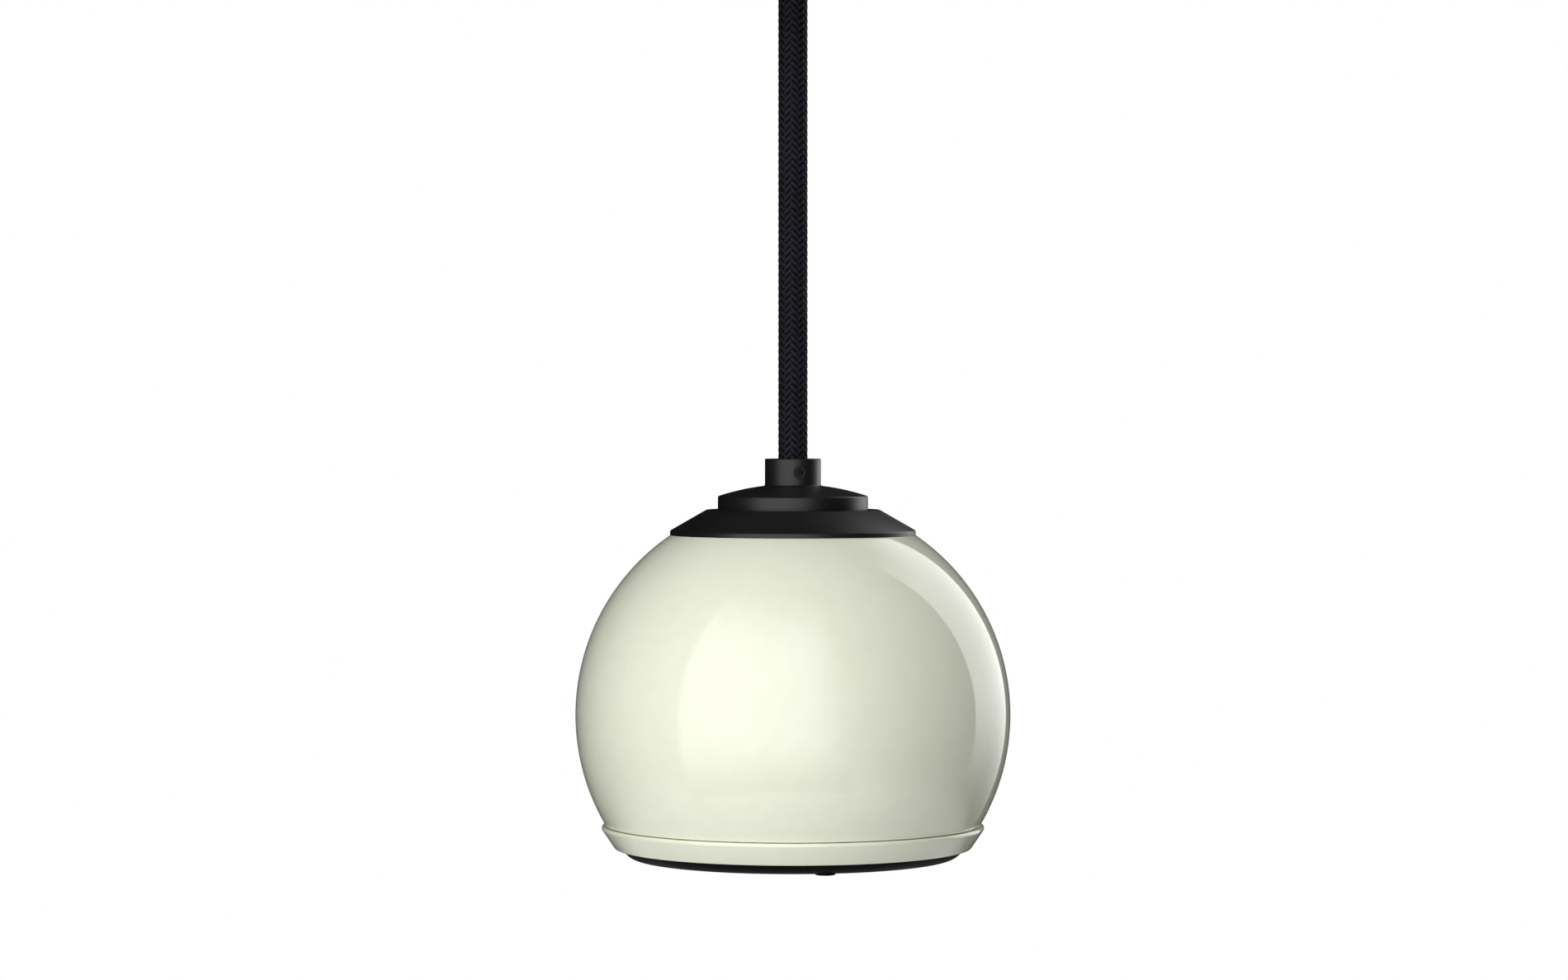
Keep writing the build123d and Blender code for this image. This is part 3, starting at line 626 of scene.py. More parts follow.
# Bare turned steel of the plates and yoke: fine rings from the lathe.
PLAIN_STEEL = Finish(
    "turned_steel", "plain_steel", "#A6A8AA", "#85888C",
    Grain.TURNED, 0.15, 0.003, (0.28, 0.42), 1.0,
)
# Black lacquer on the pressed basket, thin enough to show the sheet's drawn marks.
BASKET_BLACK = Finish(
    "black_basket_lacquer", "basket_black", "#151516", "#0D0D0E",
    Grain.TURNED, 0.3, 0.003, (0.28, 0.40),
)
# Ground ferrite: a dark grey ceramic with a sparkle of open grains.
FERRITE = Finish(
    "ground_ferrite", "ferrite", "#3A3B3E", "#242528",
    Grain.CAST, 0.25, 0.006, (0.55, 0.70),
)
# Tinned brass tags: pale yellow metal, dulled by handling.
BRASS_TAG = Finish(
    "tinned_brass", "brass_tag", "#D8C690", "#B7A26A",
    Grain.BRUSHED, 0.10, 0.002, (0.30, 0.45), 1.0,
)
# Enamelled copper wire, laid turn by turn.
COIL_COPPER = Finish(
    "enamelled_copper", "coil_copper", "#C97B46", "#8A4A22",
    Grain.WOUND, 0.25, 0.03, (0.20, 0.30), 1.0,
)
# Hard aluminium foil of the former, with faint rolling marks.
FORMER_FOIL = Finish(
    "aluminium_foil", "former_foil", "#CFD1D4", "#B4B7BB",
    Grain.BRUSHED, 0.08, 0.001, (0.18, 0.30), 1.0,
)
# Pressed paper pulp: short fibres that catch the light dully.
CONE_PAPER = Finish(
    "pressed_cone_paper", "cone_paper", "#2B2B2C", "#161617",
    Grain.FELTED, 0.35, 0.03, (0.80, 0.95),
)
# Resin treated cotton of the spider: an open amber weave.
SPIDER_CLOTH = Finish(
    "resin_treated_cloth", "spider_cloth", "#D2B370", "#8D6C36",
    Grain.WOVEN, 0.40, 0.05, (0.60, 0.75),
)
# Moulded rubber of the roll: matt, with a faint bloom.
SURROUND_RUBBER = Finish(
    "moulded_rubber", "surround_rubber", "#1D1D1E", "#121213",
    Grain.MOULDED, 0.5, 0.004, (0.55, 0.70),
)
# Closed foam gasket: small skinned cells.
GASKET_FOAM = Finish(
    "closed_cell_foam", "gasket_foam", "#26262A", "#121214",
    Grain.CAST, 0.45, 0.05, (0.85, 0.95),
)
# Pressed board ring: grey fibres under a dark dye.
RING_BOARD = Finish(
    "pressed_board", "ring_board", "#2C2A28", "#1A1918",
    Grain.FELTED, 0.3, 0.02, (0.80, 0.92),
)
# Loose polyester wadding: white matted fibre.
WADDING_FIBRE = Finish(
    "polyester_wadding", "wadding_fibre", "#F0F0EC", "#C9C9C4",
    Grain.FELTED, 1.4, 0.5, (0.90, 0.98), sheen=0.4,
)
# Moulded black nylon of the ties: dull, with the tool's fine spark finish.
NYLON_BLACK = Finish(
    "moulded_nylon", "nylon_black", "#1B1B1C", "#121213",
    Grain.MOULDED, 0.3, 0.006, (0.45, 0.58),
)
# Brown paper laminate of the terminal strip: resin over layered paper.
STRIP_LAMINATE = Finish(
    "paper_laminate", "strip_laminate", "#8A5A2E", "#64401F",
    Grain.FELTED, 0.25, 0.005, (0.35, 0.50),
)
# White moulded terminal block: slightly waxy, with a faint flow pattern.
BLOCK_PLASTIC = Finish(
    "white_moulded_nylon", "block_plastic", "#E9E8E2", "#DAD8D0",
    Grain.MOULDED, 0.6, 0.003, (0.35, 0.48),
)
# Lead insulation: smooth extruded plastic.
LEAD_RED = Finish(
    "red_insulation", "lead_red", "#B3201C", "#8E1613",
    Grain.MOULDED, 0.8, 0.002, (0.28, 0.38),
)
LEAD_BLACK = Finish(
    "black_insulation", "lead_black", "#18181A", "#0F0F10",
    Grain.MOULDED, 0.8, 0.002, (0.28, 0.38),
)
# Braided tinsel lead: fine bright copper strands round a textile core.
TINSEL_BRAID = Finish(
    "braided_tinsel", "tinsel_braid", "#D9B48C", "#8C6238",
    Grain.WOVEN, 0.20, 0.04, (0.25, 0.40), 1.0,
)
# Woven nylon sleeve of the cord: blue-black filaments that lie side by side in each strand. Its
# near-black hollow colour is painted shade on each strand's edges and on the core between them.
TEXTILE_BRAID = Finish(
    "braided_textile", "textile_braid", "#2A2A36", "#040407",
    Grain.BRAIDED, 0.12, 0.05, (0.55, 0.75), specular=0.1,
)


def dress(finish: Finish, *nodes: str) -> None:
    """Gives carried-over nodes their finish.

    Args:
        finish: What they are made of.
        nodes: The nodes.
    """
    for node in nodes:
        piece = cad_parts[node]
        for place in piece.material_slots:
            place.material = finish.material()
        if not piece.material_slots:
            piece.data.materials.append(finish.material())
        LOG.info("%s: %s", node, finish.name)


def settle(
    piece: Piece, finish: Finish, body: str | None, nodes: Iterable[str], angle: float = CRISP
) -> Piece:
    """Finishes a new piece: its smoothness, its material and its body.

    Args:
        piece: The modelled piece, its place in its mesh.
        finish: What it is made of.
        body: The body that it moves with, or None where it is to bend between two.
        nodes: The nodes that it stands for.
        angle: Edges sharper than this many degrees stay crisp.

    Returns:
        The same piece.
    """
    select_only(piece)
    bpy.ops.object.shade_smooth_by_angle(angle=radians(angle))
    piece.data.materials.clear()
    piece.data.materials.append(finish.material())
    if body:
        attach(piece, body)
    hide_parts(*nodes)
    LOG.info("%s: %s, %d faces", piece.name, finish.name, len(piece.data.polygons))
    return piece


# The ball


@dataclass
class Ball:
    """The spun shell of the ball, open at the crown and at the mouth."""

    wall: float = 1.2
    mouth_depth: float = 25.2
    crown_radius: float = 18.0
    segments: int = 256
    rings: int = 160

    @property
    def radius(self) -> float:
        """The shell's outer radius, in millimetres."""
        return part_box("ball_shell")[1].x / MM

    @property
    def centre(self) -> float:
        """Height of the ball's centre, in metres."""
        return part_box("ball_shell")[0].z + self.mouth_depth * MM

    def build(self) -> None:
        """Models and dresses the shell."""
        bpy.ops.object.select_all(action="DESELECT")
        bpy.ops.mesh.primitive_uv_sphere_add(
            segments=self.segments,
            ring_count=self.rings,
            radius=self.radius * MM,
            location=(0, 0, self.centre),
        )
        shell = bpy.context.object
        shell.name = "spun_shell"
        bpy.ops.object.transform_apply(location=True)
        bpy.ops.object.mode_set(mode="EDIT")
        crown = half_chord(self.radius, self.crown_radius) * MM
        for height, side in ((-self.mouth_depth * MM, "clear_inner"), (crown, "clear_outer")):
            place = (0, 0, self.centre + height)
            bpy.ops.mesh.select_all(action="SELECT")
            bpy.ops.mesh.bisect(plane_co=place, plane_no=(0, 0, 1), **{side: True})
        bpy.ops.mesh.select_all(action="SELECT")
        bpy.ops.mesh.normals_make_consistent(inside=False)
        bpy.ops.object.mode_set(mode="OBJECT")
        thicken(shell, self.wall, -1.0)
        settle(shell, CREAM_ENAMEL, HOUSING, ["ball_shell"])


@dataclass
class FrontBezel:
    """The cream ring round the mouth, with its proud lip, and the pierced dish in its recess."""

    ball: Ball
    lip_height: float = 0.75
    lip_rounding: float = 0.35
    lip_edge: float = 0.12
    taper: float = 34.0
    edge_rounding: float = 0.3
    rim: float = 1.25
    flange_recess: float = 3.45
    flange_thickness: float = 1.8
    flange_width: float = 8.8
    spigot_height: float = 6.0
    spigot_wall: float = 1.8
    spigot_gap: float = 0.15
    snap_hook: float = 0.5
    snap_height: float = 2.4
    snap_gap: float = 0.15
    fingers: int = 8
    finger_slot: float = 3.0
    finger_length: float = 4.5
    screws: int = 4
    screw_circle: float = 34.04
    screw_bore: float = 1.5
    screw_bite: float = 4.5
    boss_radius: float = 2.6
    boss_height: float = 3.5
    dish_sheet: float = 0.8
    dish_edge: float = 4.0
    dish_border: float = 2.0
    bend_steps: int = 14
    hole_width: float = 3.5
    hole_pitch: float = 4.4
    pip_radius: float = 2.3
    pip_height: float = 0.3
    pip_inset: float = 0.5
    pip_bearing: float = 11.7
    pip_facets: int = 64

    def build(self) -> None:
        """Models and dresses the ring and the dish."""
        ball = self.ball
        low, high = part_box("front_bezel")
        foot = (low.z - ball.centre) / MM
        spigot_top = (high.z - ball.centre) / MM
        lip_top = spigot_top - self.spigot_height
        lip_foot = lip_top - self.lip_height
        lip = high.x / MM
        corner = lip - (lip_foot - foot) * tan(radians(self.taper))
        recess = corner - self.rim
        spigot = half_chord(ball.radius - ball.wall, ball.mouth_depth) - self.spigot_gap
        inside = spigot - self.spigot_wall
        flange_foot = foot + self.flange_recess
        flange_top = flange_foot + self.flange_thickness
        flange = inside - self.flange_width
        hook = self.snap_gap - ball.mouth_depth
        outline = [
            (spigot, spigot_top),
            (spigot, hook + self.snap_height),
            (spigot + self.snap_hook, hook + self.snap_hook + self.snap_gap),
            (spigot, hook),
            (spigot, lip_top),
            (lip, lip_top),
            (lip, lip_foot),
            (corner, foot),
            (recess, foot),
            (recess, flange_foot),
            (flange, flange_foot),
            (flange, flange_top),
            (inside, flange_top),
            (inside, spigot_top),
        ]
        roundings = (
            (corner, foot, self.edge_rounding, 4),
            (recess, foot, self.edge_rounding / 2, 3),
            (lip, lip_top, self.lip_rounding, 4),
            (lip, lip_foot, self.lip_edge, 3),
        )
        ring = turned("bezel_ring", outline, ball.centre, roundings)
        self.slot_fingers(ring, spigot, ball.centre + spigot_top * MM)
        self.weld_bosses(ring, ball.centre + flange_top * MM, ball.centre + flange_foot * MM)
        settle(ring, CREAM_ENAMEL, HOUSING, ["front_bezel"])
        self.build_dish(flange_foot)

    def slot_fingers(self, ring: Piece, spigot: float, top: float) -> None:
        """Slots the spigot into fingers that snap into the ball's mouth.

        Args:
            ring: The bezel.
            spigot: The spigot's radius, in millimetres.
            top: Height of the spigot's end, in metres.
        """
        bpy.ops.object.select_all(action="DESELECT")
        bpy.ops.mesh.primitive_cube_add(size=MM, location=(spigot * MM, 0, top))
        saw = bpy.context.object
        across = 2 * self.spigot_wall + 2 * self.snap_hook
        saw.scale = (across, self.finger_slot, 2 * self.finger_length)
        bpy.ops.object.transform_apply(location=True, scale=True)
        carve(ring, ringed(saw, self.fingers))

    def weld_bosses(self, ring: Piece, top: float, foot: float) -> None:
        """Adds the bosses that the driver's screws bite into, and their bores.

        Args:
            ring: The bezel.
            top: Height of the flange's inner face, in metres.
            foot: Height of its outer face.
        """
        reach = self.screw_circle * MM * sqrt(0.5)
        sink = self.flange_thickness / 2
        height = self.boss_height + sink
        rounds = (
            (self.boss_radius, height, top + (height / 2 - sink) * MM, Carving.WELD_ON),
            (self.screw_bore, 2 * self.screw_bite, foot, Carving.CUT),
        )
        for radius, depth, middle, carving in rounds:
            first = rod(radius, depth, (reach, reach, middle))
            carve(ring, ringed(first, self.screws), carving)

    def build_dish(self, seat: float) -> None:
        """Models the pierced dish.

        Args:
            seat: Height of the flange that the dish's rim meets, from the ball's centre.
        """
        low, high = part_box("grille")
        centre = self.ball.centre
        outside = high.x / MM
        face = (low.z - centre) / MM + self.pip_height
        flat = outside - self.dish_edge
        bend = (flat, face + self.dish_edge)
        outline = [
            (0, face),
            *arc(bend, self.dish_edge, -90, 0, self.bend_steps),
            (outside, seat),
            (outside - self.dish_sheet, seat),
            *arc(bend, self.dish_edge - self.dish_sheet, 0, -90, self.bend_steps),
            (0, face + self.dish_sheet),
        ]
        dish = turned("pierced_dish", outline, centre, closed=False)
        carve(dish, self.punch(face, flat - self.dish_border))
        root = self.dish_sheet / 2
        bearing = radians(self.pip_bearing - 90)
        reach = (flat - self.pip_inset) * MM
        middle = centre + (face + (root - self.pip_height) / 2) * MM
        place = (reach * cos(bearing), reach * sin(bearing), middle)
        pip = rod(self.pip_radius, root + self.pip_height, place, self.pip_facets)
        pick(pip, "FACE", looks_down)
        bpy.ops.mesh.bevel(offset=self.pip_height * MM, segments=4, affect="EDGES")
        bpy.ops.object.mode_set(mode="OBJECT")
        settle(joined([dish, pip]), GRILLE_BLACK, HOUSING, ["grille"])

    def punch(self, face: float, field: float) -> Piece:
        """Sets out the dish's six-sided holes as one cutter.

        Args:
            face: Height of the dish's face, from the ball's centre.
            field: Radius that the holes stay inside, in millimetres.

        Returns:
            The cutter.
        """
        middle = (0, 0, self.ball.centre + (face + self.dish_sheet / 2) * MM)
        first = rod(self.hole_width / sqrt(3), 4 * self.dish_sheet, middle, 6)
        rows = int(field / self.hole_pitch) + 2
        holes = [first]
        for row in range(-rows, rows + 1):
            for column in range(-rows, rows + 1):
                across = self.hole_pitch * (column + 0.5 * (row % 2))
                along = self.hole_pitch * row * sin(radians(60))
                inside = hypot(across, along) + self.hole_width / 2 <= field
                if inside and (row, column) != (0, 0):
                    move = Matrix.Translation((across * MM, along * MM, 0))
                    holes.append(copied(first, move))
        return joined(holes)


@dataclass
class CrownFittings:
    """The black skirt, the domed cap with its neck, and what clamps them to the shell."""

    ball: Ball
    skirt_rim: float = 1.1
    skirt_radius: float = 28.25
    shelf_radius: float = 19.9
    shelf_wall: float = 1.28
    hub_depth: float = 1.3
    hub_radius: float = 17.85
    stem_bore: float = 5.05
    cap_radius: float = 17.27
    cap_side: float = 3.1
    cap_dome: float = 55.0
    cap_wall: float = 1.5
    cap_roof: float = 0.9
    cap_boss: float = 8.0
    neck_radius: float = 6.45
    neck_height: float = 6.2
    neck_bore: float = 3.55
    grub_radius: float = 1.5
    grub_bearing: float = 14.5
    seat_gap: float = 0.05
    edge_rounding: float = 0.3
    shelf_rounding: float = 0.2
    neck_rounding: float = 0.25
    bore_rounding: float = 0.15
    seat_steps: int = 12
    dome_steps: int = 16

    @property
    def shelf(self) -> float:
        """Height of the skirt's shelf above the ball's centre."""
        return half_chord(self.ball.radius, self.shelf_radius) + self.shelf_wall

    def build(self) -> None:
        """Models and dresses everything on the crown."""
        self.build_skirt()
        self.build_cap()
        dress(ZINC_PLATE, "threaded_stem", "clamp_washer", "stem_nut")
        dress(BLACK_OXIDE_AND_SHADE, "gland_grub_screw")
        dress(NYLON_BLACK, "cord_tie")
        dress(WADDING_FIBRE, "wadding")

    def build_skirt(self) -> None:
        """Models the cone that lies on the ball."""
        shelf = self.shelf
        rim = half_chord(self.ball.radius, self.skirt_radius) + self.skirt_rim
        under = self.ball.radius + self.seat_gap
        lowest, highest = (rise_at(under, out) for out in (self.skirt_radius, self.hub_radius))
        outline = [
            (self.stem_bore, shelf),
            (self.shelf_radius, shelf),
            (self.skirt_radius, rim),
            *arc((0, 0), under, lowest, highest, self.seat_steps),
            (self.hub_radius, shelf - self.hub_depth),
            (self.stem_bore, shelf - self.hub_depth),
        ]
        roundings = (
            (self.skirt_radius, rim, self.edge_rounding, 4),
            (self.shelf_radius, shelf, self.shelf_rounding, 4),
        )
        skirt = turned("crown_skirt_cone", outline, self.ball.centre, roundings)
        settle(skirt, BLACK_SATIN, HOUSING, ["crown_skirt"], CRISP_LACQUER)

    def build_cap(self) -> None:
        """Models the domed cap with its neck and the hole for the grub screw."""
        centre, shelf = self.ball.centre, self.shelf
        edge = shelf + self.cap_side
        dome = edge - half_chord(self.cap_dome, self.cap_radius)
        neck_foot = dome + half_chord(self.cap_dome, self.neck_radius)
        neck_top = neck_foot + self.neck_height
        rim, inner = (rise_at(self.cap_dome, out) for out in (self.cap_radius, self.neck_radius))
        inside = self.cap_radius - self.cap_wall
        roof = edge - self.cap_roof
        stem_top = (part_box("threaded_stem")[1].z - centre) / MM + self.seat_gap
        outline = [
            (self.cap_radius, shelf),
            *arc((0, dome), self.cap_dome, rim, inner, self.dome_steps),
            (self.neck_radius, neck_top),
            (self.neck_bore, neck_top),
            (self.neck_bore, stem_top),
            (self.stem_bore, stem_top),
            (self.stem_bore, shelf),
            (self.cap_boss, shelf),
            (self.cap_boss, roof),
            (inside, roof),
            (inside, shelf),
        ]
        roundings = (
            (self.cap_radius, edge, self.edge_rounding, 4),
            (self.neck_radius, neck_foot, self.edge_rounding, 4),
            (self.neck_radius, neck_top, self.neck_rounding, 4),
            (self.neck_bore, neck_top, self.bore_rounding, 3),
        )
        cap = turned("gland_cap_dome", outline, centre, roundings)
        self.drill_neck(cap, centre + (neck_foot + self.neck_height / 2) * MM)
        settle(cap, BLACK_SATIN, HOUSING, ["gland_cap"], CRISP_LACQUER)

    def drill_neck(self, piece: Piece, height: float) -> None:
        """Drills a neck for its grub screw.

        Args:
            piece: The piece whose neck is drilled.
            height: Height of the hole, in metres.
        """
        bearing = radians(self.grub_bearing)
        out = Vector((sin(bearing), -cos(bearing), 0))
        reach = (self.neck_bore + self.neck_radius) / 2
        centre = out * reach * MM + Vector((0, 0, height))
        drill(piece, centre, out, self.grub_radius, self.neck_radius - self.neck_bore + OVERRUN)


# The cord


@dataclass
class BraidedCord:
    """The textile cord: a braided sleeve of flat strands over its core.

    A strand's section counts its points in half widths and half thicknesses, and the supports are
    the line's control points, as shares of its height.
    """

    diameter: float = 6.8
    strands: int = 12
    strand_width: float = 1.06
    strand_thickness: float = 0.34
    wave: float = 0.15
    steps: int = 3
    core_facets: int = 64
    supports: tuple[float, ...] = (0.0, 0.2, 0.5, 0.8, 1.0)
    section: tuple[Point, ...] = ((1.0, -0.2), (0.6, 0.8), (-0.6, 0.8), (-1.0, -0.2), (0.0, -1.0))

    def route(self) -> Piece:
        """Draws the cord's line, the one that the part's own cord follows.

        Returns:
            A curve object without thickness.
        """
        foot, top = (corner.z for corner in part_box("cord"))
        curve = bpy.data.curves.new("cord_route", "CURVE")
        curve.dimensions = "3D"
        spline = curve.splines.new("NURBS")
        spline.points.add(len(self.supports) - 1)
        for point, share in zip(spline.points, self.supports):
            point.co = (0, 0, foot + share * (top - foot), 1)
        spline.order_u = 3
        spline.use_endpoint_u = True
        line = bpy.data.objects.new("cord_route", curve)
        bpy.context.collection.objects.link(line)
        bpy.context.view_layer.update()
        return line

    def read_route(self) -> np.ndarray:
        """Reads the points of the cord's line.

        Returns:
            The points, from the ball up to the rose.
        """
        line = self.route()
        mesh = bpy.data.meshes.new_from_object(line)
        points = np.array([vertex.co for vertex in mesh.vertices], float)
        bpy.data.meshes.remove(mesh)
        bpy.data.objects.remove(line)
        return points

    @property
    def middle(self) -> float:
        """Mean radius of the strands, in metres."""
        return (self.diameter / 2 - self.wave - self.strand_thickness / 2) * MM

    def build(self, lowest: float) -> None:
        """Models the core and its braided sleeve.

        Args:
            lowest: Height where the cord leaves the ball's neck, in metres; not used.
        """
        path = self.read_route()
        length = np.concatenate([[0], np.cumsum(np.linalg.norm(np.diff(path, axis=0), axis=1))])
        parts = [self.core(path)]
        for hand in (1, -1):
            for strand in range(self.strands):
                parts.append(self.lay_strand(hand, strand, path, length))
        cord = settle(joined(parts), TEXTILE_BRAID, HOUSING, ["cord"], CRISP_BRAID)

    def core(self, path: np.ndarray) -> Piece:
        """Models the round core that shows between the strands, in the braid's darkest colour as
        painted shade.

        Args:
            path: The route's points.

        Returns:
            The core, a closed tube.
        """
        foot, top = float(path[0][2]), float(path[-1][2])
        middle = (0, 0, (top + foot) / 2)
        core = rod(self.middle / MM, (top - foot) / MM, middle, self.core_facets)
        core.name = "braided_cord"
        core.data.uv_layers[0].name = "strand"
        # Every corner at (0, 0) gives the core the braid's near-black colour: painted shade between
        # the strands.
        for corner in core.data.uv_layers["strand"].data:
            corner.uv = (0.0, 0.0)
        return core

    def lay_strand(self, hand: int, strand: int, path: np.ndarray, length: np.ndarray) -> Piece:
        """Lays one strand along the route, two over and two under.

        Args:
            hand: 1 for a strand wound one way, -1 for the other.
            strand: Its number among the strands of its hand.
            path: The route's points.
            length: The route's length up to each of them, in metres.

        Returns:
            The strand, a closed flat tube.
        """
        crossing = pi * self.middle / self.strands
        place = np.arange(int(length[-1] / crossing) * self.steps + 1) / self.steps
        rise = place * crossing
        turn = 2 * pi * strand / self.strands + hand * pi * place / self.strands
        order = place + 2 * strand if hand > 0 else 2 * strand - place + 2
        lift = np.clip(sqrt(2) * np.sin(pi / 2 * (order + 0.5)), -1, 1) * self.wave * MM
        out = np.stack([np.cos(turn), np.sin(turn), np.zeros_like(turn)], axis=1)
        along = np.stack([-np.sin(turn) * hand, np.cos(turn) * hand, np.ones_like(turn)], axis=1)
        across = np.cross(along / sqrt(2), out)
        centre = np.stack([np.interp(rise, length, path[:, axis]) for axis in range(3)], axis=1)
        centre += out * (self.middle + lift)[:, None]
        wide, deep = self.strand_width / 2 * MM, self.strand_thickness / 2 * MM
        lines = [centre + across * (side * wide) + out * (lie * deep) for side, lie in self.section]
        points = np.stack(lines, axis=1)
        sides, rings = len(self.section), len(place)
        faces = [
            (low + edge, low + sides + edge, low + sides + after, low + after)
            for low in range(0, (rings - 1) * sides, sides)
            for edge, after in ((edge, (edge + 1) % sides) for edge in range(sides))
        ]
        faces.append(tuple(range(sides)))
        faces.append(tuple(range(rings * sides - 1, (rings - 1) * sides - 1, -1)))
        mesh = bpy.data.meshes.new("strand")
        mesh.from_pydata(points.reshape(-1, 3).tolist(), [], faces)
        layer = mesh.uv_layers.new(name="strand")
        corners = np.empty(len(mesh.loops), np.int32)
        mesh.loops.foreach_get("vertex_index", corners)
        drawn = np.repeat(rise / MM * sqrt(2), sides)
        spread = np.tile([side * 0.5 + 0.5 + strand * 2 for side, lie in self.section], rings)
        layer.data.foreach_set("uv", np.stack([drawn, spread], axis=1)[corners].ravel())
        laid = bpy.data.objects.new("strand", mesh)
        bpy.context.collection.objects.link(laid)
        return laid


# The driver


def flex(piece: Piece) -> None:
    """Bakes the place of a round piece, which bends between the housing and the cone, into its
    mesh.

    Args:
        piece: A piece turned round the upright axis.
    """
    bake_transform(piece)


@dataclass
class Driver:
    """The loudspeaker driver behind the dish."""

    surround_sheet: float = 0.4
    surround_lip: float = 1.8
    surround_foot: float = 1.9
    roll_width: float = 4.5
    roll_depth: float = 2.0
    roll_steps: int = 28
    spider_sheet: float = 0.3
    spider_shelf: float = 3.35
    spider_collar: float = 0.9
    spider_waves: int = 6
    spider_swell: float = 0.55
    wave_steps: int = 10
    glue_gap: float = 0.05

    def build(self) -> None:
        """Dresses the driver's nodes and models what bends between basket and cone."""
        self.build_surround()
        self.build_spider()
        self.build_tinsel()
        dress(GASKET_FOAM, "driver_gasket")
        dress(BASKET_BLACK, "driver_basket")
        dress(ZINC_PLATE, "driver_screws")
        dress(PLAIN_STEEL, "top_plate", "pole_yoke")
        dress(FERRITE, "magnet_ring")
        dress(FORMER_FOIL, "voice_coil_former")
        dress(COIL_COPPER, "voice_coil")
        dress(CONE_PAPER, "diaphragm", "dust_cap")
        dress(RING_BOARD, "surround_ring")
        dress(STRIP_LAMINATE, "terminal_strip")
        dress(BRASS_TAG, "terminal_tags")
        dress(LEAD_RED, "lead_positive")
        dress(LEAD_BLACK, "lead_negative")

    def build_surround(self) -> None:
        """Models the rubber roll, glued to the basket's face and to the cone's edge."""
        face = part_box("surround")[1]
        outside = face.x / MM - self.surround_foot
        inside = outside - self.roll_width
        half = self.surround_sheet / 2
        bend = (self.roll_width**2 / 4 + self.roll_depth**2) / (2 * self.roll_depth)
        above = bend - self.roll_depth
        radius = bend + half
        start = degrees(atan2(-(above + half), half_chord(radius, above + half)))
        middle = ((outside + inside) / 2, above)
        outline = [
            (outside + self.surround_foot, -half),
            *arc(middle, radius, start, -180 - start, self.roll_steps),
            (inside - self.surround_lip, -half),
        ]
        roll = turned("rubber_surround", outline, face.z, closed=False)
        thicken(roll, self.surround_sheet, 0.0)
        settle(roll, SURROUND_RUBBER, None, ["surround"])
        flex(roll)

    def build_spider(self) -> None:
        """Models the cloth spider, whose rings of waves centre the coil."""
        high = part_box("spider")[1]
        outside = high.x / MM
        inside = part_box("voice_coil_former")[1].x / MM + self.glue_gap
        start, end = outside - self.spider_shelf, inside + self.spider_collar
        steps = self.wave_steps * self.spider_waves
        outline = [(outside, 0.0)]
        for step in range(steps + 1):
            share = step / steps
            lift = self.spider_swell * sin(pi * self.spider_waves * share)
            outline.append((start + (end - start) * share, lift))
        outline.append((inside, 0.0))
        middle = high.z - (self.spider_swell + self.spider_sheet / 2) * MM
        cloth = turned("cloth_spider", outline, middle, closed=False)
        thicken(cloth, self.spider_sheet, 0.0)
        settle(cloth, SPIDER_CLOTH, None, ["spider"])
        flex(cloth)

    def build_tinsel(self) -> None:
        """Copies the two flexible leads, which run from the tags to the cone."""
        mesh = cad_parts["tinsel_leads"].data.copy()
        leads = bpy.data.objects.new("braided_tinsel_leads", mesh)
        bpy.context.collection.objects.link(leads)
        select_only(leads)
        bpy.ops.object.mode_set(mode="EDIT")
        bpy.ops.mesh.select_all(action="SELECT")
        bpy.ops.mesh.remove_doubles(threshold=WELD)
        bpy.ops.object.mode_set(mode="OBJECT")
        settle(leads, TINSEL_BRAID, None, ["tinsel_leads"])
        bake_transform(leads)


@dataclass
class CeilingRose:
    """The cup at the ceiling, with the bracket and terminals inside it.

    Its neck and grub screw are as on the ball's fittings.
    """

    fittings: CrownFittings
    wall: float = 1.2
    height: float = 25.8
    dome: float = 160.0
    boss_radius: float = 8.0
    boss_height: float = 2.0
    side_screw_drop: float = 8.0
    side_screw_bore: float = 1.5
    edge_rounding: float = 0.8
    dome_steps: int = 16
    inner_steps: int = 12

    def build(self) -> None:
        """Models the cup and dresses what is in it."""
        fittings = self.fittings
        neck, bore = fittings.neck_radius, fittings.neck_bore
        low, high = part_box("canopy")
        radius, nose = high.x / MM, low.z / MM
        centre = half_chord(self.dome, neck) - self.height
        inside = self.dome - self.wall
        rim, tip = (-rise_at(self.dome, out) for out in (radius, neck))
        boss, eaves = (-rise_at(inside, out) for out in (self.boss_radius, radius - self.wall))
        boss_top = centre - half_chord(inside, self.boss_radius) + self.boss_height
        outline = [
            (radius, 0),
            *arc((0, centre), self.dome, rim, tip, self.dome_steps),
            (neck, nose),
            (bore, nose),
            (bore, boss_top),
            (self.boss_radius, boss_top),
            *arc((0, centre), inside, boss, eaves, self.inner_steps),
            (radius - self.wall, 0),
        ]
        roundings = (
            (radius, centre - half_chord(self.dome, radius), self.edge_rounding, 5),
            (neck, nose, fittings.neck_rounding, 4),
        )
        cup = turned("canopy_cup", outline, 0.0, roundings)
        fittings.drill_neck(cup, (nose + fittings.neck_height / 2) * MM)
        drop = Vector((0, 0, -self.side_screw_drop * MM))
        drill(cup, drop, Vector((1, 0, 0)), self.side_screw_bore, 2 * (radius + OVERRUN))
        settle(cup, BLACK_SATIN, HOUSING, ["canopy"], CRISP_LACQUER)
        dress(ZINC_PLATE, "ceiling_bracket", "canopy_side_screws", "block_fixing_screw")
        dress(BLACK_OXIDE_AND_SHADE, "canopy_grub_screw")
        dress(NYLON_BLACK, "canopy_cord_tie")
        dress(BLOCK_PLASTIC, "terminal_block")
        dress(BRASS_TAG, "clamp_screws")
        dress(LEAD_RED, "core_positive")
        dress(LEAD_BLACK, "core_negative")


# The studio


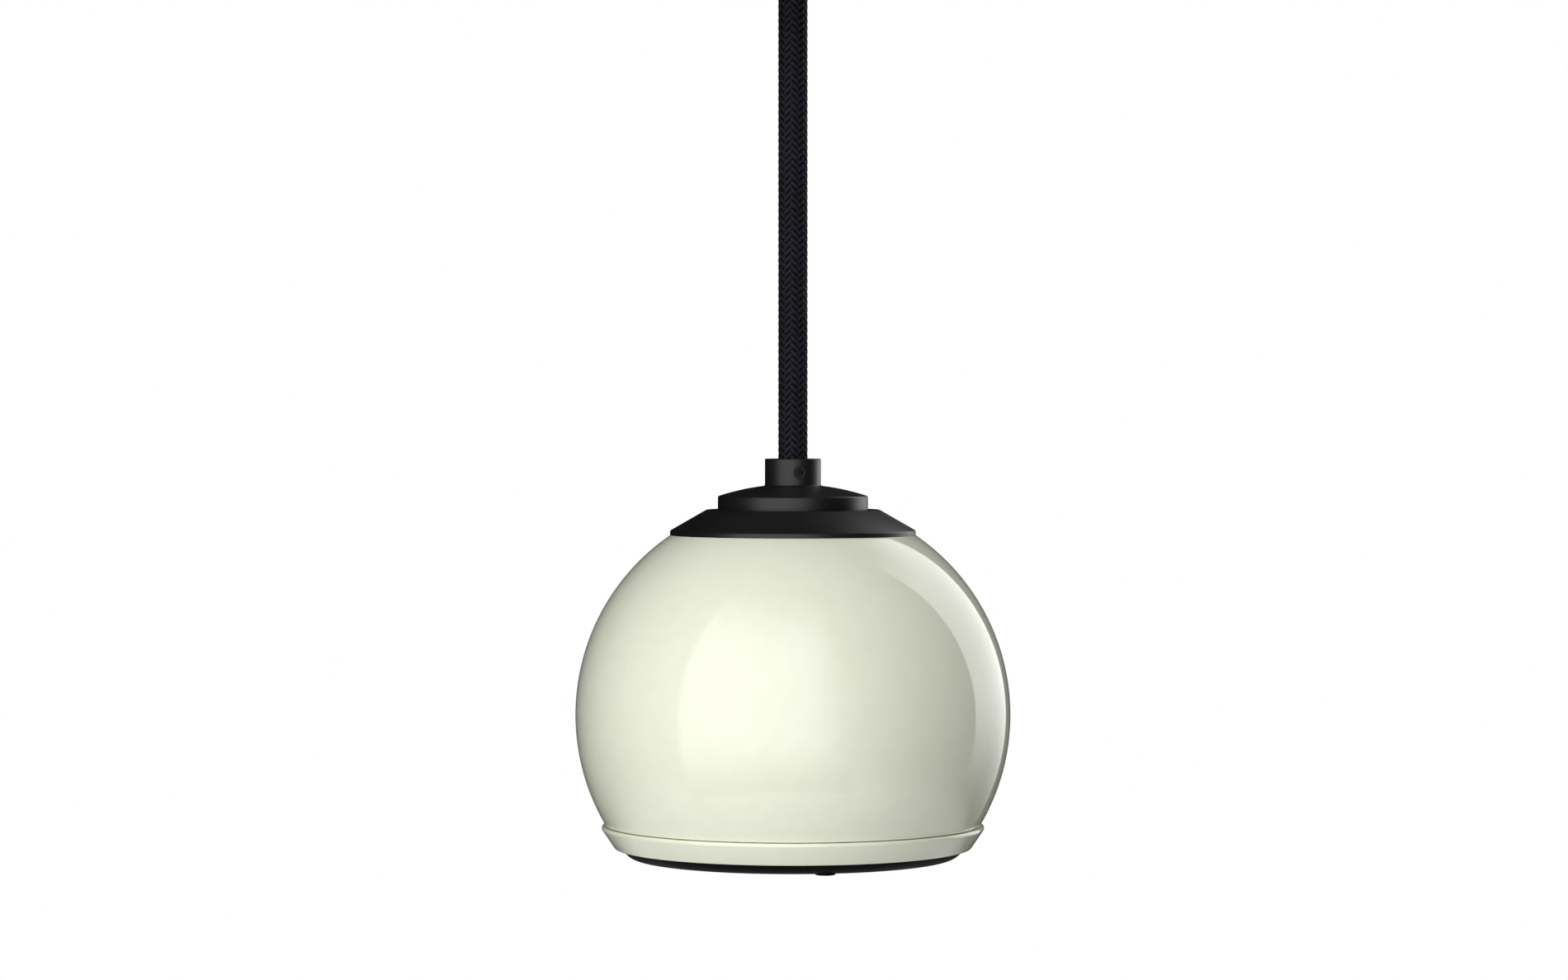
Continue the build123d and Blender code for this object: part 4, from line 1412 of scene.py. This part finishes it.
@dataclass(frozen=True)
class Softbox:
    """A curved soft lamp round the ball: the angles that it covers, and where its light fades.

    Bearings go from the camera's side to the right, and rises from level upwards, in degrees.
    Each span is where the light starts, is full, is still full, and ends. A lamp that isn't
    mirrored lights the object but doesn't show in its gloss.
    """

    name: str
    bearings: tuple[float, float, float, float]
    rises: tuple[float, float, float, float]
    distance: float
    level: float
    mirrored: bool = True
    cells: int = 72

    def levels(self, bearing: np.ndarray, rise: np.ndarray) -> np.ndarray:
        """Gives the light's strength at each point of the lamp.

        Args:
            bearing: Each point's bearing, in degrees.
            rise: Its rise.

        Returns:
            The strength at each point.
        """
        strength = np.full_like(bearing, self.level)
        for value, (start, full, still, end) in ((bearing, self.bearings), (rise, self.rises)):
            strength *= rise_between(value, start, full) * rise_between(value, end, still)
        return strength


KEY = Softbox("key_softbox", (-64, -58, 6, 34), (-36, -7, 36, 70), 1.35, 2.34)
STRIP = Softbox("rim_softbox", (109, 111, 150, 152), (-25, 6, 38, 66), 1.2, 2.55)
BACK = Softbox("back_softbox", (160, 170, 196, 206), (-30, -5, 40, 62), 1.35, 1.7, mirrored=False)


@dataclass
class Studio:
    """A pale floor, soft lamps, dark curtains out of view, and the photograph's camera.

    The camera's place is in millimetres from the ball's centre, and the room's sizes in metres.
    """

    ball: Ball
    camera_across: float = -2.05
    camera_back: float = 995.75
    camera_above: float = 70.36
    camera_tilt: float = 1.077
    lens: float = 99.46
    ambient: float = 0.25
    floor_height: float = -1.5
    floor_width: float = 24.0
    curtain_height: float = 1.8
    curtain_reach: float = 1.8
    curtain_facets: int = 96
    glow_top: float = -0.8
    lid_fade: float = 0.5
    lid_glow: float = 0.09

    def build(self) -> None:
        """Sets up camera, world, floor, curtains and lamps."""
        self.place_camera()
        self.light_world()
        self.lay_floor()
        self.hang_curtains()
        for softbox in (KEY, STRIP, BACK):
            self.stand_softbox(softbox)

    def place_camera(self) -> None:
        """Puts the camera where the photograph was taken from."""
        lens = bpy.data.cameras.new("camera")
        lens.lens = self.lens
        lens.sensor_width = 36.0
        lens.sensor_fit = "HORIZONTAL"
        lens.clip_end = 50.0
        camera = bpy.data.objects.new("camera", lens)
        height = self.ball.centre + self.camera_above * MM
        camera.location = (self.camera_across * MM, -self.camera_back * MM, height)
        camera.rotation_euler = (radians(90 - self.camera_tilt), 0, 0)
        bpy.context.collection.objects.link(camera)
        bpy.context.scene.camera = camera

    def whitened(self, tree: Tree, soft: Source, kind: str) -> Source:
        """Makes what the object sees as a soft light white to look at.

        The camera's rays, glossy ones and those that pass through the piece show the white.

        Args:
            tree: The tree of the world or of a material.
            soft: The light on the object.
            kind: Background for the world, Emission for a material.

        Returns:
            The two, mixed.
        """
        rays = add_node(tree, "LightPath").outputs
        seen: Source = rays["Is Camera Ray"]
        for ray in ("Is Glossy Ray", "Is Transmission Ray"):
            seen = add_node(tree, "Math", {"operation": "MAXIMUM"}, {0: seen, 1: rays[ray]})
        white = add_node(tree, kind, {"Color": WHITE, "Strength": 1.0})
        return add_node(tree, "MixShader", links={0: seen, 1: soft, 2: white})

    def light_world(self) -> None:
        """Makes the world white to look at and a plain soft light on the object."""
        world = bpy.data.worlds.new("studio")
        world.use_nodes = True
        bpy.context.scene.world = world
        tree = world.node_tree
        tree.nodes.clear()
        soft = add_node(tree, "Background", {"Color": WHITE, "Strength": self.ambient})
        add_node(tree, "OutputWorld", links={0: self.whitened(tree, soft, "Background")})

    def lay_floor(self) -> None:
        """Lays the plain pale floor, far below the hanging ball."""
        bpy.ops.object.select_all(action="DESELECT")
        place = (0, 0, self.floor_height)
        bpy.ops.mesh.primitive_plane_add(size=self.floor_width, location=place)
        floor = bpy.context.object
        floor.name = "studio_floor"
        bpy.ops.object.transform_apply(location=True)
        tree = bare_tree(floor, "pale_floor_paint")
        matt = add_node(tree, "BsdfDiffuse", {"Color": linear("#E6E6E4")})
        add_node(tree, "OutputMaterial", links={0: self.whitened(tree, matt, "Emission")})

    def hang_curtains(self) -> None:
        """Hangs a round curtain with a lid, which keeps the ball's edges dark."""
        low, high = self.floor_height, self.curtain_height
        middle = (0, 0, (high + low) / 2)
        curtain = rod(self.curtain_reach / MM, (high - low) / MM, middle, self.curtain_facets)
        curtain.name = "round_curtain"
        pick(curtain, "FACE", looks_down)
        bpy.ops.mesh.delete(type="FACE")
        bpy.ops.object.mode_set(mode="OBJECT")
        tree = bare_tree(curtain, "graded_curtain_cloth")
        place = add_node(tree, "TexCoord").outputs["Object"]
        height = add_node(tree, "SeparateXYZ", links={0: place}).outputs["Z"]
        bands = (
            dict(zip(SPAN, (low, self.glow_top, 1.0, 0.0))),
            dict(zip(SPAN, (high - self.lid_fade, high, 0.0, self.lid_glow))),
        )
        pale, lid = (
            add_node(tree, "MapRange", {"interpolation_type": "SMOOTHSTEP", **band}, {0: height})
            for band in bands
        )
        ends = add_node(tree, "Math", {"operation": "MAXIMUM"}, {0: pale, 1: lid})
        dark = add_node(tree, "BsdfDiffuse", {"Color": linear("#1C1C1C")})
        soft = add_node(tree, "Emission", {"Color": WHITE, "Strength": self.ambient})
        glow = self.whitened(tree, soft, "Emission")
        graded = add_node(tree, "MixShader", links={0: ends, 1: dark, 2: glow})
        add_node(tree, "OutputMaterial", links={0: graded})
        curtain.visible_camera = False

    def stand_softbox(self, softbox: Softbox) -> None:
        """Stands a curved soft lamp round the ball.

        Args:
            softbox: The lamp.
        """
        cells = softbox.cells
        bpy.ops.object.select_all(action="DESELECT")
        bpy.ops.mesh.primitive_grid_add(x_subdivisions=cells, y_subdivisions=cells, size=1.0)
        lamp = bpy.context.object
        lamp.name = softbox.name
        places = np.array([vertex.co for vertex in lamp.data.vertices], float)
        bearing, rise = (
            np.interp(places[:, axis], (-0.5, 0.5), (angles[0], angles[3]))
            for axis, angles in enumerate((softbox.bearings, softbox.rises))
        )
        turn, up = np.radians(bearing), np.radians(rise)
        out = np.stack([np.sin(turn) * np.cos(up), -np.cos(turn) * np.cos(up), np.sin(up)], axis=1)
        middle = np.array((0, 0, self.ball.centre))
        lamp.data.vertices.foreach_set("co", (middle + out * softbox.distance).ravel())
        level = lamp.data.attributes.new("level", "FLOAT", "POINT")
        level.data.foreach_set("value", softbox.levels(bearing, rise))
        lamp.data.update()
        tree = bare_tree(lamp, softbox.name + "_cloth")
        strength = add_node(tree, "Attribute", {"attribute_name": "level"}).outputs["Fac"]
        glow = add_node(tree, "Emission", {"Color": WHITE}, {"Strength": strength})
        add_node(tree, "OutputMaterial", links={0: glow})
        lamp.visible_camera = False
        lamp.visible_glossy = softbox.mirrored


def main() -> None:
    """Builds the ball from the mouth to the ceiling, then lights it."""
    logging.basicConfig(level=logging.INFO, format="%(name)s %(message)s")
    ball = Ball()
    fittings = CrownFittings(ball)
    ball.build()
    FrontBezel(ball).build()
    fittings.build()
    BraidedCord().build(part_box("gland_cap")[1].z)
    Driver().build()
    CeilingRose(fittings).build()
    Studio(ball).build()
    bpy.context.scene.view_settings.view_transform = "Standard"


if __name__ == "__main__":
    main()
